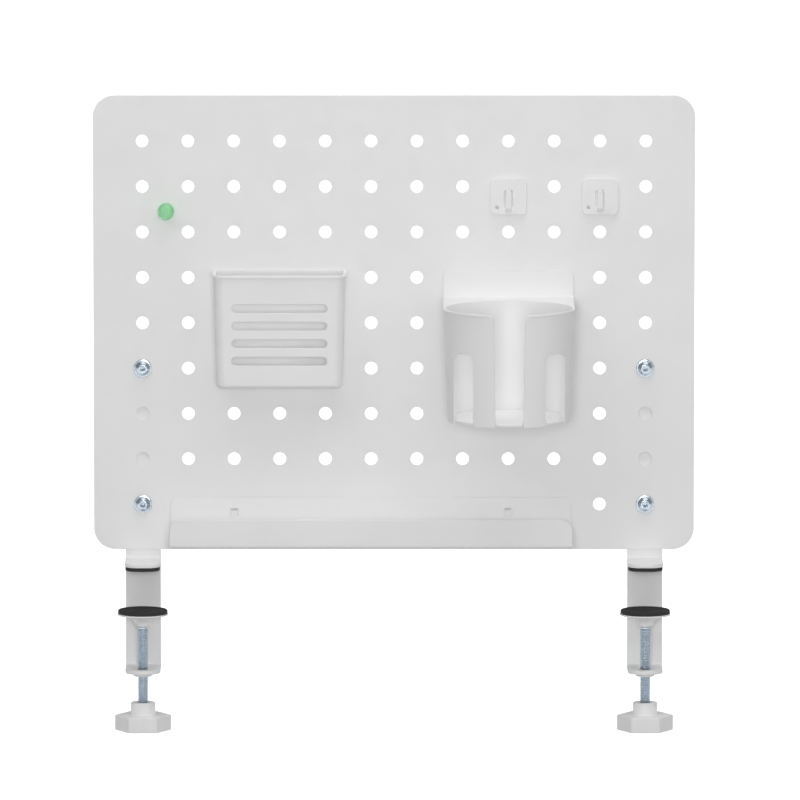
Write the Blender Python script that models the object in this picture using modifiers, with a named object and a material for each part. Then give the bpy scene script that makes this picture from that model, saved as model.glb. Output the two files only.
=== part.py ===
"""Desk-clamp pegboard organiser: a perforated panel on two screw clamps, with hang-on holders.

Metres, +Z up, the front faces -Y. The origin is midway between the clamps, on the top of the desk
(underside of the jaw pads) and at the desk's rear edge (front face of the clamp brackets).
"""

import math

import bmesh
import bpy
from mathutils import Matrix, Vector

MM = 0.001
GAP = 0.3 * MM  # between neighbouring pieces

# peg panel
PANEL_W = 460 * MM
PANEL_H = 350 * MM
PITCH = 35 * MM
PANEL_EDGE = 30 * MM  # least distance from a hole's centre to the panel's edge
COLUMNS = int((PANEL_W - 2 * PANEL_EDGE) / PITCH) + 1
ROWS = int((PANEL_H - 2 * PANEL_EDGE) / PITCH) + 1
PANEL_T = 1.5 * MM
PANEL_CORNER_R = 16.5 * MM
HOLE_R = 4.95 * MM
HOLE_SIDES = 12
PANEL_BOTTOM_Z = 13.2 * MM

# clamp steel
STEEL_T = 3 * MM
CLAMP_W = 27 * MM
BEND_R = 1.5 * MM
PAD_T = 2.5 * MM
JAW_REACH = 37.5 * MM
JAW_CORNER_R = 10 * MM
SCREW_OUT = 23 * MM  # clamp screw axis in front of the desk's rear edge
LOWER_JAW_TOP_Z = -76.5 * MM
BRACKET_OVER_SCREW = 13 * MM  # bracket strip above its top screw
UPPER_SCREW_ROW = ROWS - 4
LOWER_SCREW_ROW = ROWS - 1
M6_R = 3 * MM
M8_R = 4 * MM
BOSS_R = 7 * MM
BOSS_H = 2.5 * MM

# pressure foot, screw and knob
FOOT_TOP_Z = -31 * MM
FOOT_PAD_R = 19 * MM
FOOT_PAD_T = 2.6 * MM
FOOT_DISC_R = 19.5 * MM
FOOT_DISC_T = 1.2 * MM
BALL_R = 5 * MM
NECK_R = 2.5 * MM
HUB_WALL = 0.9 * MM
HUB_ROOF = 0.8 * MM  # steel over the ball's hollow
KNOB_TOP_Z = -102.6 * MM
KNOB_COLLAR_R = 9.45 * MM
KNOB_COLLAR_H = 9.7 * MM
KNOB_BODY_R = 21.9 * MM
KNOB_BODY_H = 12 * MM
KNOB_CORNER_R = 2.5 * MM

# lugs that hang the holders in the panel's holes
LUG_W = 5.4 * MM
LUG_T = 1.5 * MM
LUG_LENGTH = 8 * MM
LUG_DROP = 0.9 * MM  # lug root below the hole's centre

# tray
TRAY_W = 307.6 * MM
TRAY_DEPTH = 50 * MM
TRAY_T = 1.5 * MM
TRAY_DROP = 27.8 * MM  # tray's underside below its holes' centre
TRAY_BACK_H = 33.2 * MM
TRAY_LIP_H = 22.4 * MM
TRAY_BACK_R = 6 * MM
TRAY_LIP_R = 9.6 * MM
TRAY_COLUMNS = (2, 8)
TRAY_ROW = ROWS - 1

# pen box
BOX_TOP_W = 100 * MM
BOX_BOTTOM_W = 96 * MM
BOX_DEPTH = 36 * MM
BOX_H = 86.8 * MM
BOX_WALL = 1.6 * MM
BOX_CORNER_R = 7 * MM
RIM_OUT = 1.4 * MM
RIM_H = 2.2 * MM
SLOT_W = 73 * MM
SLOT_H = 6.6 * MM
SLOT_PITCH = 13.45 * MM
SLOT_COUNT = 4
TOP_SLOT_DROP = 25.5 * MM
BOX_COLUMNS = (2, 4)
HOLDER_ROW = 3
HOLDER_OVER_HOLE = 5.4 * MM  # top edge of pen box and cup holder above their holes' centre

# cup holder
CUP_R = 50 * MM
CUP_BOTTOM_R = 46.5 * MM
CUP_WALL = 1.8 * MM
CUP_OUT = 68 * MM  # cup axis in front of the panel face
CUP_FLANGE_W = 100 * MM
CUP_FLANGE_T = 2 * MM
CUP_FLANGE_H = 20.6 * MM
CUP_FLANGE_R = 5 * MM
CUP_PLATE_T = 2 * MM
CUP_DEPTH = 86.5 * MM
CUP_SLOT_TOP_W = 24.4 * MM
CUP_SLOT_BOTTOM_W = 21.5 * MM
CUP_SLOT_R = 4 * MM
WINDOW_INNER_X = 27.5 * MM
WINDOW_OUTER_X = 42 * MM
WINDOW_H = 55 * MM
WINDOW_R = 4 * MM
FLOOR_T = 2 * MM
FLOOR_OVER_FOOT = 1 * MM
CUP_COLUMNS = (COLUMNS - 5, COLUMNS - 3)

# hook plates
HOOK_COLUMNS = (COLUMNS - 4, COLUMNS - 2)
HOOK_ROW = 1
HOOK_PLATE = 28 * MM
HOOK_PLATE_T = 2.4 * MM
HOOK_PLATE_R = 4.5 * MM
HOOK_PLATE_DROP = 7.7 * MM  # plate centre below the hole's centre
HOOK_W = 4.4 * MM
HOOK_T = 2 * MM
HOOK_OUT = 9.4 * MM
HOOK_H = 15.8 * MM
HOOK_SLOT_W = 6.6 * MM
HOOK_SLOT_H = 12.5 * MM
HOOK_EYE_R = 1.15 * MM

# push pin
PIN_COLUMN = 0.52  # between the first and second columns
PIN_ROW = 1.534

# planes, front to back
BRACKET_BACK_Y = -GAP
BRACKET_FRONT_Y = BRACKET_BACK_Y - STEEL_T
PANEL_BACK_Y = BRACKET_FRONT_Y - GAP
PANEL_FRONT_Y = PANEL_BACK_Y - PANEL_T
HANG_Y = PANEL_FRONT_Y - GAP  # backs of everything that hangs on the panel
JAW_BOTTOM_Z = PAD_T + GAP
JAW_TOP_Z = JAW_BOTTOM_Z + STEEL_T
FOOT_DISC_TOP_Z = FOOT_TOP_Z - FOOT_PAD_T - GAP
HUB_R = BALL_R + GAP + HUB_WALL
BALL_Z = FOOT_DISC_TOP_Z - HUB_ROOF - GAP - BALL_R
HUB_BOTTOM_Z = BALL_Z - 3.6 * MM
KNOB_SHOULDER_Z = KNOB_TOP_Z - KNOB_COLLAR_H
KNOB_BOTTOM_Z = KNOB_SHOULDER_Z - KNOB_BODY_H
CLAMP_X = (COLUMNS - 1) / 2 * PITCH

FRONT_VIEW = Matrix.Rotation(math.radians(90), 4, "X")
SIDE_VIEW = Matrix(((0, 0, 1, 0), (1, 0, 0, 0), (0, 1, 0, 0), (0, 0, 0, 1)))
PLAN_VIEW = Matrix.Identity(4)

MODEL = None
CUTTERS = None


def clear_scene():
    """Remove every object."""
    for obj in list(bpy.data.objects):
        bpy.data.objects.remove(obj, do_unlink=True)


def new_collection(name):
    """A collection linked to the scene."""
    collection = bpy.data.collections.new(name)
    bpy.context.scene.collection.children.link(collection)
    return collection


def material(name, colour, roughness, metallic):
    """A Principled BSDF material."""
    made = bpy.data.materials.new(name)
    made.use_nodes = True
    shader = made.node_tree.nodes["Principled BSDF"]
    shader.inputs["Base Color"].default_value = (*colour, 1)
    shader.inputs["Roughness"].default_value = roughness
    shader.inputs["Metallic"].default_value = metallic
    return made


def powder_coat(name):
    """White powder-coated steel."""
    return material(name, (0.80, 0.80, 0.80), 0.45, 0.0)


def zinc(name):
    """Bluish zinc plating."""
    return material(name, (0.62, 0.68, 0.76), 0.28, 1.0)


def rubber(name):
    """Black rubber."""
    return material(name, (0.02, 0.02, 0.02), 0.75, 0.0)


def grid_x(column):
    """X of a hole column, counted from 0 at the left."""
    return (column - (COLUMNS - 1) / 2) * PITCH


def row_z(row):
    """Z of a hole row, counted from 0 at the top."""
    margin = (PANEL_H - (ROWS - 1) * PITCH) / 2
    return PANEL_BOTTOM_Z + PANEL_H - margin - row * PITCH


def place(name, mesh, finish=None, at=(0, 0, 0)):
    """An object of a mesh in world coordinates, its origin at a point; a cutter if it has no finish."""
    mesh.transform(Matrix.Translation(-Vector(at)))
    obj = bpy.data.objects.new(name, mesh)
    obj.location = at
    if finish is None:
        CUTTERS.objects.link(obj)
        obj.hide_render = True
        obj.display_type = "WIRE"
    else:
        MODEL.objects.link(obj)
        mesh.materials.clear()
        mesh.materials.append(finish)
    return obj


def combine(obj, other, operation):
    """A Boolean modifier."""
    modifier = obj.modifiers.new(operation.lower(), "BOOLEAN")
    modifier.operation = operation
    modifier.object = other
    modifier.solver = "EXACT"


def cut(obj, *meshes):
    """Cut meshes out of an object."""
    for mesh in meshes:
        combine(obj, place(f"{obj.name}.cut", mesh), "DIFFERENCE")


def add(obj, *meshes):
    """Join meshes to an object."""
    for mesh in meshes:
        combine(obj, place(f"{obj.name}.add", mesh), "UNION")


def mesh_of(bm, name="shape"):
    """A mesh from a bmesh."""
    bmesh.ops.recalc_face_normals(bm, faces=bm.faces)
    mesh = bpy.data.meshes.new(name)
    bm.to_mesh(mesh)
    bm.free()
    return mesh


def cone(centre, axis, length, low_r, high_r, sides=24, turn=0.0):
    """A frustum along an axis, low_r at its tail and high_r at its head."""
    bm = bmesh.new()
    aim = Vector(axis).to_track_quat("Z", "Y").to_matrix().to_4x4()
    matrix = Matrix.Translation(centre) @ aim @ Matrix.Rotation(turn, 4, "Z")
    bmesh.ops.create_cone(
        bm, cap_ends=True, segments=sides, radius1=low_r, radius2=high_r, depth=length, matrix=matrix
    )
    return mesh_of(bm)


def cylinder(centre, axis, length, radius, sides=24, turn=0.0):
    """A cylinder along an axis."""
    return cone(centre, axis, length, radius, radius, sides, turn)


def arc(centre, radius, start, end, steps):
    """Points on an arc, degrees."""
    angles = [math.radians(start + (end - start) * i / steps) for i in range(steps + 1)]
    return [(centre[0] + radius * math.cos(a), centre[1] + radius * math.sin(a)) for a in angles]


def rounded(points, radii, steps=5):
    """A polygon's outline with each corner rounded by its own radius."""
    outline = []
    for i, (point, radius) in enumerate(zip(points, radii)):
        here = Vector(point)
        if radius == 0:
            outline.append(tuple(here))
            continue
        before = (Vector(points[i - 1]) - here).normalized()
        after = (Vector(points[(i + 1) % len(points)]) - here).normalized()
        half = before.angle(after) / 2
        centre = here + (before + after).normalized() * radius / math.sin(half)
        first = here + before * radius / math.tan(half) - centre
        last = here + after * radius / math.tan(half) - centre
        sweep = first.angle_signed(last)
        for step in range(steps + 1):
            turned = first.copy()
            turned.rotate(Matrix.Rotation(-sweep * step / steps, 2))
            outline.append(tuple(centre + turned))
    return outline


def rectangle(low, high):
    """The corners of a rectangle, counter-clockwise."""
    return [low, (high[0], low[1]), high, (low[0], high[1])]


def flat(outlines, thickness, view=PLAN_VIEW, at=0.0):
    """A flat plate from outlines, holes included, seen in a view and centred at a depth."""
    curve = bpy.data.curves.new("outline", "CURVE")
    curve.dimensions = "2D"
    curve.fill_mode = "BOTH"
    curve.extrude = thickness / 2
    for outline in outlines:
        spline = curve.splines.new("POLY")
        spline.points.add(len(outline) - 1)
        for point, (x, y) in zip(spline.points, outline):
            point.co = (x, y, 0, 1)
        spline.use_cyclic_u = True
    holder = bpy.data.objects.new("outline", curve)
    CUTTERS.objects.link(holder)
    depsgraph = bpy.context.evaluated_depsgraph_get()
    mesh = bpy.data.meshes.new_from_object(holder.evaluated_get(depsgraph))
    bpy.data.objects.remove(holder)
    bm = bmesh.new()
    bm.from_mesh(mesh)
    bmesh.ops.remove_doubles(bm, verts=bm.verts, dist=1e-6)
    bmesh.ops.translate(bm, vec=(0, 0, at), verts=bm.verts)
    bmesh.ops.transform(bm, matrix=view, verts=bm.verts)
    return mesh_of(bm)


def front_plate(outlines, front_y, back_y):
    """A plate whose outlines are in X and Z."""
    return flat(outlines, back_y - front_y, FRONT_VIEW, -(front_y + back_y) / 2)


def side_plate(outline, low_x, high_x):
    """A plate whose outline is in Y and Z."""
    return flat([outline], high_x - low_x, SIDE_VIEW, (low_x + high_x) / 2)


def plan_plate(outlines, low_z, high_z):
    """A plate whose outlines are in X and Y."""
    return flat(outlines, high_z - low_z, PLAN_VIEW, (low_z + high_z) / 2)


def turned(name, profile, finish, at, axis="Z", steps=24):
    """A turned piece: (radius, height) points run down its outer side. Axis Y points to the front."""
    bm = bmesh.new()
    verts = [bm.verts.new((r, 0, h)) for r, h in profile]
    for first, second in zip(verts, verts[1:]):
        bm.edges.new((first, second))
    mesh = bpy.data.meshes.new(name)
    bm.to_mesh(mesh)
    bm.free()
    obj = bpy.data.objects.new(name, mesh)
    MODEL.objects.link(obj)
    obj.location = at
    if axis == "Y":
        obj.rotation_euler = (math.radians(90), 0, 0)
    mesh.materials.append(finish)
    screw = obj.modifiers.new("turn", "SCREW")
    screw.axis = "Z"
    screw.steps = steps
    screw.render_steps = steps
    screw.use_merge_vertices = True
    screw.merge_threshold = 0.00001
    return obj


def strip(points, thickness, radius, steps=4):
    """The outline of a bent strip: a centre line's points, bent at its inner corners."""
    line = [Vector(p) for p in points]
    left, right = [], []
    for i, here in enumerate(line):
        before = (here - line[i - 1]).normalized() if i else None
        after = (line[i + 1] - here).normalized() if i + 1 < len(line) else None
        ahead = before or after
        if before and after:
            ahead = (before + after).normalized()
        stretch = 1 / ahead.dot(before or after)
        side = Vector((-ahead.y, ahead.x)) * stretch * thickness / 2
        left.append((here + side, before, after))
        right.append((here - side, before, after))
    corners, radii = [], []
    for side, turn in ((left, 1), (right[::-1], -1)):
        for point, before, after in side:
            corners.append(tuple(point))
            if before is None or after is None:
                radii.append(0)
                continue
            bends_left = before.x * after.y - before.y * after.x > 0
            inner = bends_left == (turn == 1)
            radii.append(radius if inner else radius + thickness)
    return rounded(corners, radii, steps)


def corner_cutters(half_w, top, radius, front_y, back_y, centre_x=0.0):
    """Cutters that round the two top corners of an upright plate."""
    extra = 1 * MM
    cutters = []
    for side in (-1, 1):
        centre = (centre_x + side * (half_w - radius), top - radius)
        points = arc(centre, radius, 0 if side > 0 else 180, 90, 6)
        points.append((centre[0], top + extra))
        points.append((centre_x + side * (half_w + extra), top + extra))
        points.append((centre_x + side * (half_w + extra), centre[1]))
        cutters.append(front_plate([points], front_y, back_y))
    return cutters


def tip_cutters(x, half_w, tip_y, radius, low_z, high_z, steps=8):
    """Cutters that round the two front corners of a jaw."""
    extra = 1 * MM
    cutters = []
    for side in (-1, 1):
        centre = (x + side * (half_w - radius), tip_y + radius)
        points = arc(centre, radius, 0 if side > 0 else -180, -90, steps)
        points.append((centre[0], tip_y - extra))
        points.append((x + side * (half_w + extra), tip_y - extra))
        points.append((x + side * (half_w + extra), centre[1]))
        cutters.append(plan_plate([points], low_z, high_z))
    return cutters


def lug(x, z, plate_t):
    """A lug that leaves a plate's back and runs back and down at 45 degrees through a hole."""
    root = z - LUG_DROP
    inside = plate_t / 3
    ahead = Vector((1, -1)).normalized()
    side = Vector((1, 1)).normalized() * LUG_T / 2
    start = Vector((HANG_Y - inside, root + inside))
    end = Vector((HANG_Y, root)) + ahead * LUG_LENGTH
    outline = [tuple(start - side), tuple(end - side), tuple(end + side), tuple(start + side)]
    return side_plate(outline, x - LUG_W / 2, x + LUG_W / 2)


def peg_panel():
    """The perforated panel."""
    low = (-PANEL_W / 2, PANEL_BOTTOM_Z)
    high = (PANEL_W / 2, PANEL_BOTTOM_Z + PANEL_H)
    outlines = [rounded(rectangle(low, high), [PANEL_CORNER_R] * 4, 8)]
    for column in range(COLUMNS):
        for row in range(ROWS):
            centre = (grid_x(column), row_z(row))
            outlines.append(arc(centre, HOLE_R, 0, 360, HOLE_SIDES)[:-1])
    finish = powder_coat("panel_powder_coat")
    place("peg_panel", front_plate(outlines, PANEL_FRONT_Y, PANEL_BACK_Y), finish)


def mounting_bracket(name, x):
    """The strip behind the panel that bends forward into the upper jaw."""
    mid_y = (BRACKET_FRONT_Y + BRACKET_BACK_Y) / 2
    mid_z = (JAW_BOTTOM_Z + JAW_TOP_Z) / 2
    top = row_z(UPPER_SCREW_ROW) + BRACKET_OVER_SCREW
    outline = strip([(mid_y, top), (mid_y, mid_z), (-JAW_REACH, mid_z)], STEEL_T, BEND_R)
    half_w = CLAMP_W / 2
    obj = place(name, side_plate(outline, x - half_w, x + half_w), powder_coat(f"{name}_powder_coat"))
    cut(obj, *corner_cutters(half_w, top, 6 * MM, BRACKET_FRONT_Y - MM, BRACKET_BACK_Y + MM, x))
    cut(obj, *tip_cutters(x, half_w, -JAW_REACH, JAW_CORNER_R, JAW_BOTTOM_Z - MM, JAW_TOP_Z + MM))
    for row in (UPPER_SCREW_ROW, LOWER_SCREW_ROW):
        centre = (x, mid_y, row_z(row))
        cut(obj, cylinder(centre, (0, 1, 0), STEEL_T + 2 * MM, M6_R + GAP))


def jaw_pad(name, x):
    """The rubber pad under an upper jaw."""
    half_w = CLAMP_W / 2 - 0.3 * MM
    low = (x - half_w, -JAW_REACH + 0.4 * MM)
    high = (x + half_w, -2 * GAP)
    corner = JAW_CORNER_R - 0.3 * MM
    outline = rounded(rectangle(low, high), [corner, corner, 0, 0], 8)
    place(name, plan_plate([outline], 0, PAD_T), rubber(f"{name}_rubber"))


def clamp_bracket(name, x):
    """The plate behind and below the desk's edge, bent forward into the lower jaw."""
    half_w = CLAMP_W / 2
    mid_z = LOWER_JAW_TOP_Z - STEEL_T / 2
    top = row_z(LOWER_SCREW_ROW) + BRACKET_OVER_SCREW
    tip = -(SCREW_OUT + half_w)
    outline = strip([(STEEL_T / 2, top), (STEEL_T / 2, mid_z), (tip, mid_z)], STEEL_T, BEND_R)
    obj = place(name, side_plate(outline, x - half_w, x + half_w), powder_coat(f"{name}_powder_coat"))
    cut(obj, *corner_cutters(half_w, top, 6 * MM, -MM, STEEL_T + MM, x))
    low_z = mid_z - STEEL_T
    cut(obj, *tip_cutters(x, half_w, tip, half_w, low_z, LOWER_JAW_TOP_Z + MM, 12))
    bottom = LOWER_JAW_TOP_Z - STEEL_T
    boss_z = bottom - BOSS_H / 2
    add(obj, cone((x, -SCREW_OUT, boss_z), (0, 0, 1), BOSS_H + MM, BOSS_R - MM, BOSS_R, 32))
    cut(obj, cylinder((x, -SCREW_OUT, mid_z), (0, 0, 1), 20 * MM, M8_R + GAP, 32))
    centre = (x, STEEL_T / 2, row_z(LOWER_SCREW_ROW))
    cut(obj, cylinder(centre, (0, 1, 0), STEEL_T + 2 * MM, M6_R + GAP))


def panel_screw(name, x, z):
    """An M6 flange button-head screw with a hexagon socket."""
    profile = [(0, 4.1), (2.7, 4.1), (4.2, 3.4), (5.1, 2.3), (5.4, 1.2)]
    profile += [(6.85, 1.0), (6.85, 0), (3, 0), (3, -14.6), (2.6, -15), (0, -15)]
    scaled = [(r * MM, h * MM) for r, h in profile]
    obj = turned(name, scaled, zinc(f"{name}_zinc"), (x, HANG_Y, z), "Y", 18)
    socket = cylinder((x, HANG_Y - 4 * MM, z), (0, 1, 0), 4 * MM, 2.31 * MM, 6, math.radians(30))
    cut(obj, socket)


def panel_nut(name, x, face_y, z):
    """An M6 flange nut behind a bracket."""
    low = face_y + GAP
    hexagon = cylinder((x, low + 2.8 * MM, z), (0, 1, 0), 5.2 * MM, 5.77 * MM, 6)
    obj = place(name, hexagon, zinc(f"{name}_zinc"), (x, low, z))
    add(obj, cone((x, low + 0.7 * MM, z), (0, 1, 0), 1.4 * MM, 6.6 * MM, 6.1 * MM))
    cut(obj, cylinder((x, low + 3 * MM, z), (0, 1, 0), 12 * MM, M6_R + GAP))


def foot_pad(name, x):
    """The rubber disc of a pressure foot."""
    low = -FOOT_PAD_T
    profile = [(0, 0), (FOOT_PAD_R - 0.7 * MM, 0), (FOOT_PAD_R, -0.6 * MM), (FOOT_PAD_R, low), (0, low)]
    at = (x, -SCREW_OUT, BALL_Z)
    raised = [(r, h + FOOT_TOP_Z - BALL_Z) for r, h in profile]
    return turned(name, raised, rubber(f"{name}_rubber"), at, steps=28)


def foot_plate(name, x):
    """The pressed disc of a pressure foot, with a hub that holds the swivel ball."""
    top = FOOT_DISC_TOP_Z - BALL_Z
    under = top - FOOT_DISC_T
    mouth = HUB_BOTTOM_Z - BALL_Z
    cavity = BALL_R + GAP
    start = math.degrees(math.asin(mouth / cavity))
    profile = [(0, top), (FOOT_DISC_R, top), (FOOT_DISC_R, under), (13.5 * MM, under)]
    profile += [(10.5 * MM, under - 1.6 * MM), (HUB_R + 0.6 * MM, under - 5 * MM)]
    profile += [(HUB_R, under - 6 * MM), (HUB_R, mouth)]
    profile += arc((0, 0), cavity, start, 90, 5)[:-1] + [(0, cavity)]
    at = (x, -SCREW_OUT, BALL_Z)
    return turned(name, profile, powder_coat(f"{name}_powder_coat"), at, steps=28)


def swivel_ball(name, x):
    """The ball in the hub, bored for the screw's neck."""
    bottom = -3.9 * MM
    bore_top = 2 * MM
    bore_r = NECK_R + GAP
    end = math.degrees(math.asin(bottom / BALL_R))
    profile = [(0, BALL_R)] + arc((0, 0), BALL_R, 90, end, 6)[1:]
    profile += [(bore_r, bottom), (bore_r, bore_top), (0, bore_top)]
    return turned(name, profile, zinc(f"{name}_zinc"), (x, -SCREW_OUT, BALL_Z), steps=20)


def clamp_screw(name, x):
    """The M8 clamp screw with its thinner neck in the ball."""
    shoulder = HUB_BOTTOM_Z - 0.8 * MM - BALL_Z
    neck_top = 1.7 * MM
    end = KNOB_BOTTOM_Z + 4 * MM - BALL_Z
    profile = [(0, neck_top), (NECK_R, neck_top), (NECK_R, shoulder), (M8_R - 0.5 * MM, shoulder)]
    profile += [(M8_R, shoulder - 0.5 * MM), (M8_R, end), (0, end)]
    return turned(name, profile, zinc(f"{name}_zinc"), (x, -SCREW_OUT, BALL_Z))


def knob(name, x):
    """The hexagonal knob with a round collar."""
    corners = [(x + p[0], p[1] - SCREW_OUT) for p in arc((0, 0), KNOB_BODY_R, 0, 360, 6)[:-1]]
    outline = rounded(corners, [KNOB_CORNER_R] * 6, 3)
    at = (x, -SCREW_OUT, BALL_Z)
    finish = material(f"{name}_plastic", (0.85, 0.85, 0.85), 0.4, 0.0)
    obj = place(name, plan_plate([outline], KNOB_BOTTOM_Z, KNOB_SHOULDER_Z), finish, at)
    bevel = obj.modifiers.new("edges", "BEVEL")
    bevel.width = 1 * MM
    bevel.segments = 2
    bevel.angle_limit = math.radians(60)
    middle = KNOB_SHOULDER_Z + KNOB_COLLAR_H / 2 - MM
    add(obj, cylinder((x, -SCREW_OUT, middle), (0, 0, 1), KNOB_COLLAR_H + 2 * MM, KNOB_COLLAR_R, 32))
    bore_low = KNOB_BOTTOM_Z + 4 * MM - GAP
    bore_high = KNOB_TOP_Z + MM
    centre = (x, -SCREW_OUT, (bore_low + bore_high) / 2)
    cut(obj, cylinder(centre, (0, 0, 1), bore_high - bore_low, M8_R + GAP))
    return obj


def clamp(side, x):
    """One clamp, its moving pieces on an empty at the swivel ball's centre."""
    mounting_bracket(f"{side}_mounting_bracket", x)
    jaw_pad(f"{side}_jaw_pad", x)
    clamp_bracket(f"{side}_clamp_bracket", x)
    pivot = bpy.data.objects.new(f"{side}_swivel_pivot", None)
    pivot.location = (x, -SCREW_OUT, BALL_Z)
    MODEL.objects.link(pivot)
    moving = [foot_pad(f"{side}_foot_pad", x), foot_plate(f"{side}_foot_plate", x)]
    moving += [swivel_ball(f"{side}_swivel_ball", x), clamp_screw(f"{side}_clamp_screw", x)]
    moving.append(knob(f"{side}_knob", x))
    for obj in moving:
        obj.parent = pivot
        obj.matrix_parent_inverse = Matrix.Translation(-Vector(pivot.location))
    for level, row in (("upper", UPPER_SCREW_ROW), ("lower", LOWER_SCREW_ROW)):
        z = row_z(row)
        panel_screw(f"{side}_{level}_screw", x, z)
        face_y = BRACKET_BACK_Y if level == "upper" else STEEL_T
        panel_nut(f"{side}_{level}_nut", x, face_y, z)


def tray():
    """The folded tray with two lanced lugs."""
    centre_x = (grid_x(TRAY_COLUMNS[0]) + grid_x(TRAY_COLUMNS[1])) / 2
    half_w = TRAY_W / 2
    half_t = TRAY_T / 2
    back_y = HANG_Y - half_t
    lip_y = HANG_Y - TRAY_DEPTH + half_t
    hole_z = row_z(TRAY_ROW)
    bottom = hole_z - TRAY_DROP
    floor_z = bottom + half_t
    back_top = bottom + TRAY_BACK_H
    lip_top = bottom + TRAY_LIP_H
    line = [(back_y, back_top), (back_y, floor_z), (lip_y, floor_z), (lip_y, lip_top)]
    mesh = side_plate(strip(line, TRAY_T, MM), centre_x - half_w, centre_x + half_w)
    obj = place("tray", mesh, powder_coat("tray_powder_coat"), (centre_x, HANG_Y, hole_z))
    back = (HANG_Y - TRAY_T - MM, HANG_Y + MM)
    lip = (HANG_Y - TRAY_DEPTH - MM, HANG_Y - TRAY_DEPTH + TRAY_T + MM)
    cut(obj, *corner_cutters(half_w, back_top, TRAY_BACK_R, *back, centre_x))
    cut(obj, *corner_cutters(half_w, lip_top, TRAY_LIP_R, *lip, centre_x))
    window_top = hole_z - LUG_DROP - LUG_T / math.sqrt(2)
    for column in TRAY_COLUMNS:
        x = grid_x(column)
        add(obj, lug(x, hole_z, TRAY_T))
        low = (x - 3 * MM, window_top - 8 * MM)
        high = (x + 3 * MM, window_top)
        outline = rounded(rectangle(low, high), [2.8 * MM, 2.8 * MM, 0, 0], 5)
        cut(obj, front_plate([outline], *back))


def tapered_block(top_w, bottom_w, front_y, back_y, low_z, high_z, corner_r, bottom_r):
    """A block that narrows to its bottom, its front uprights and bottom edges rounded."""
    bm = bmesh.new()
    bmesh.ops.create_cube(bm, size=1)
    for vert in bm.verts:
        width = top_w if vert.co.z > 0 else bottom_w
        depth = front_y if vert.co.y < 0 else back_y
        height = high_z if vert.co.z > 0 else low_z
        vert.co = (math.copysign(width / 2, vert.co.x), depth, height)
    uprights = [e for e in bm.edges if abs(e.verts[0].co.z - e.verts[1].co.z) > MM]
    fronts = [e for e in uprights if e.verts[0].co.y < back_y - MM]
    bmesh.ops.bevel(bm, geom=fronts, offset=corner_r, segments=5, profile=0.5, affect="EDGES")
    low_edges = []
    for edge in bm.edges:
        at_bottom = all(abs(v.co.z - low_z) < 1e-6 for v in edge.verts)
        at_back = all(abs(v.co.y - back_y) < 1e-6 for v in edge.verts)
        if at_bottom and not at_back:
            low_edges.append(edge)
    bmesh.ops.bevel(bm, geom=low_edges, offset=bottom_r, segments=3, profile=0.5, affect="EDGES")
    return mesh_of(bm)


def pen_box():
    """The open-topped pen box with slots in its front."""
    centre_x = (grid_x(BOX_COLUMNS[0]) + grid_x(BOX_COLUMNS[1])) / 2
    hole_z = row_z(HOLDER_ROW)
    top = hole_z + HOLDER_OVER_HOLE
    bottom = top - BOX_H
    front = HANG_Y - BOX_DEPTH
    over = top + 2 * MM
    shift = Matrix.Translation((centre_x, 0, 0))
    outer = tapered_block(BOX_TOP_W, BOX_BOTTOM_W, front, HANG_Y, bottom, top, BOX_CORNER_R, 3 * MM)
    inner = tapered_block(
        BOX_TOP_W - 2 * BOX_WALL,
        BOX_BOTTOM_W - 2 * BOX_WALL,
        front + BOX_WALL,
        HANG_Y - BOX_WALL,
        bottom + BOX_WALL,
        over,
        BOX_CORNER_R - BOX_WALL,
        1.4 * MM,
    )
    rim_w = BOX_TOP_W + 2 * RIM_OUT
    low = (-rim_w / 2, front - RIM_OUT)
    high = (rim_w / 2, HANG_Y - GAP)
    corner = BOX_CORNER_R + RIM_OUT
    rim = plan_plate([rounded(rectangle(low, high), [corner, corner, 0, 0], 6)], top - RIM_H, top + GAP / 2)
    for mesh in (outer, inner, rim):
        mesh.transform(shift)
    obj = place("pen_box", outer, powder_coat("pen_box_powder_coat"), (centre_x, HANG_Y, hole_z))
    add(obj, rim)
    cut(obj, inner)
    for index in range(SLOT_COUNT):
        z = top - TOP_SLOT_DROP - index * SLOT_PITCH
        low = (centre_x - SLOT_W / 2, z - SLOT_H / 2)
        high = (centre_x + SLOT_W / 2, z + SLOT_H / 2)
        outline = rounded(rectangle(low, high), [SLOT_H / 2 - 0.01 * MM] * 4, 4)
        cut(obj, front_plate([outline], front - 5 * MM, front + 5 * MM))
    for column in BOX_COLUMNS:
        add(obj, lug(grid_x(column), hole_z, BOX_WALL))


def cup_plane():
    """The cup holder's centre X, hole Z, top Z, rim Z and foot Z."""
    centre_x = (grid_x(CUP_COLUMNS[0]) + grid_x(CUP_COLUMNS[1])) / 2
    hole_z = row_z(HOLDER_ROW)
    top = hole_z + HOLDER_OVER_HOLE
    rim = top - CUP_FLANGE_H
    return centre_x, hole_z, top, rim, rim - CUP_DEPTH


def slot_outline(centre_x, rim, foot):
    """The front slot seen from the front: flared at the rim, narrower at the foot."""
    half_top = CUP_SLOT_TOP_W / 2
    half_low = CUP_SLOT_BOTTOM_W / 2
    over = 3 * MM
    right = [(half_low, foot - over), (half_top, rim - CUP_SLOT_R)]
    right += arc((half_top + CUP_SLOT_R, rim - CUP_SLOT_R), CUP_SLOT_R, 180, 90, 5)[1:]
    right.append((half_top + CUP_SLOT_R, rim + over))
    left = [(-x, z) for x, z in reversed(right)]
    return [(centre_x + x, z) for x, z in right + left]


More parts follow.
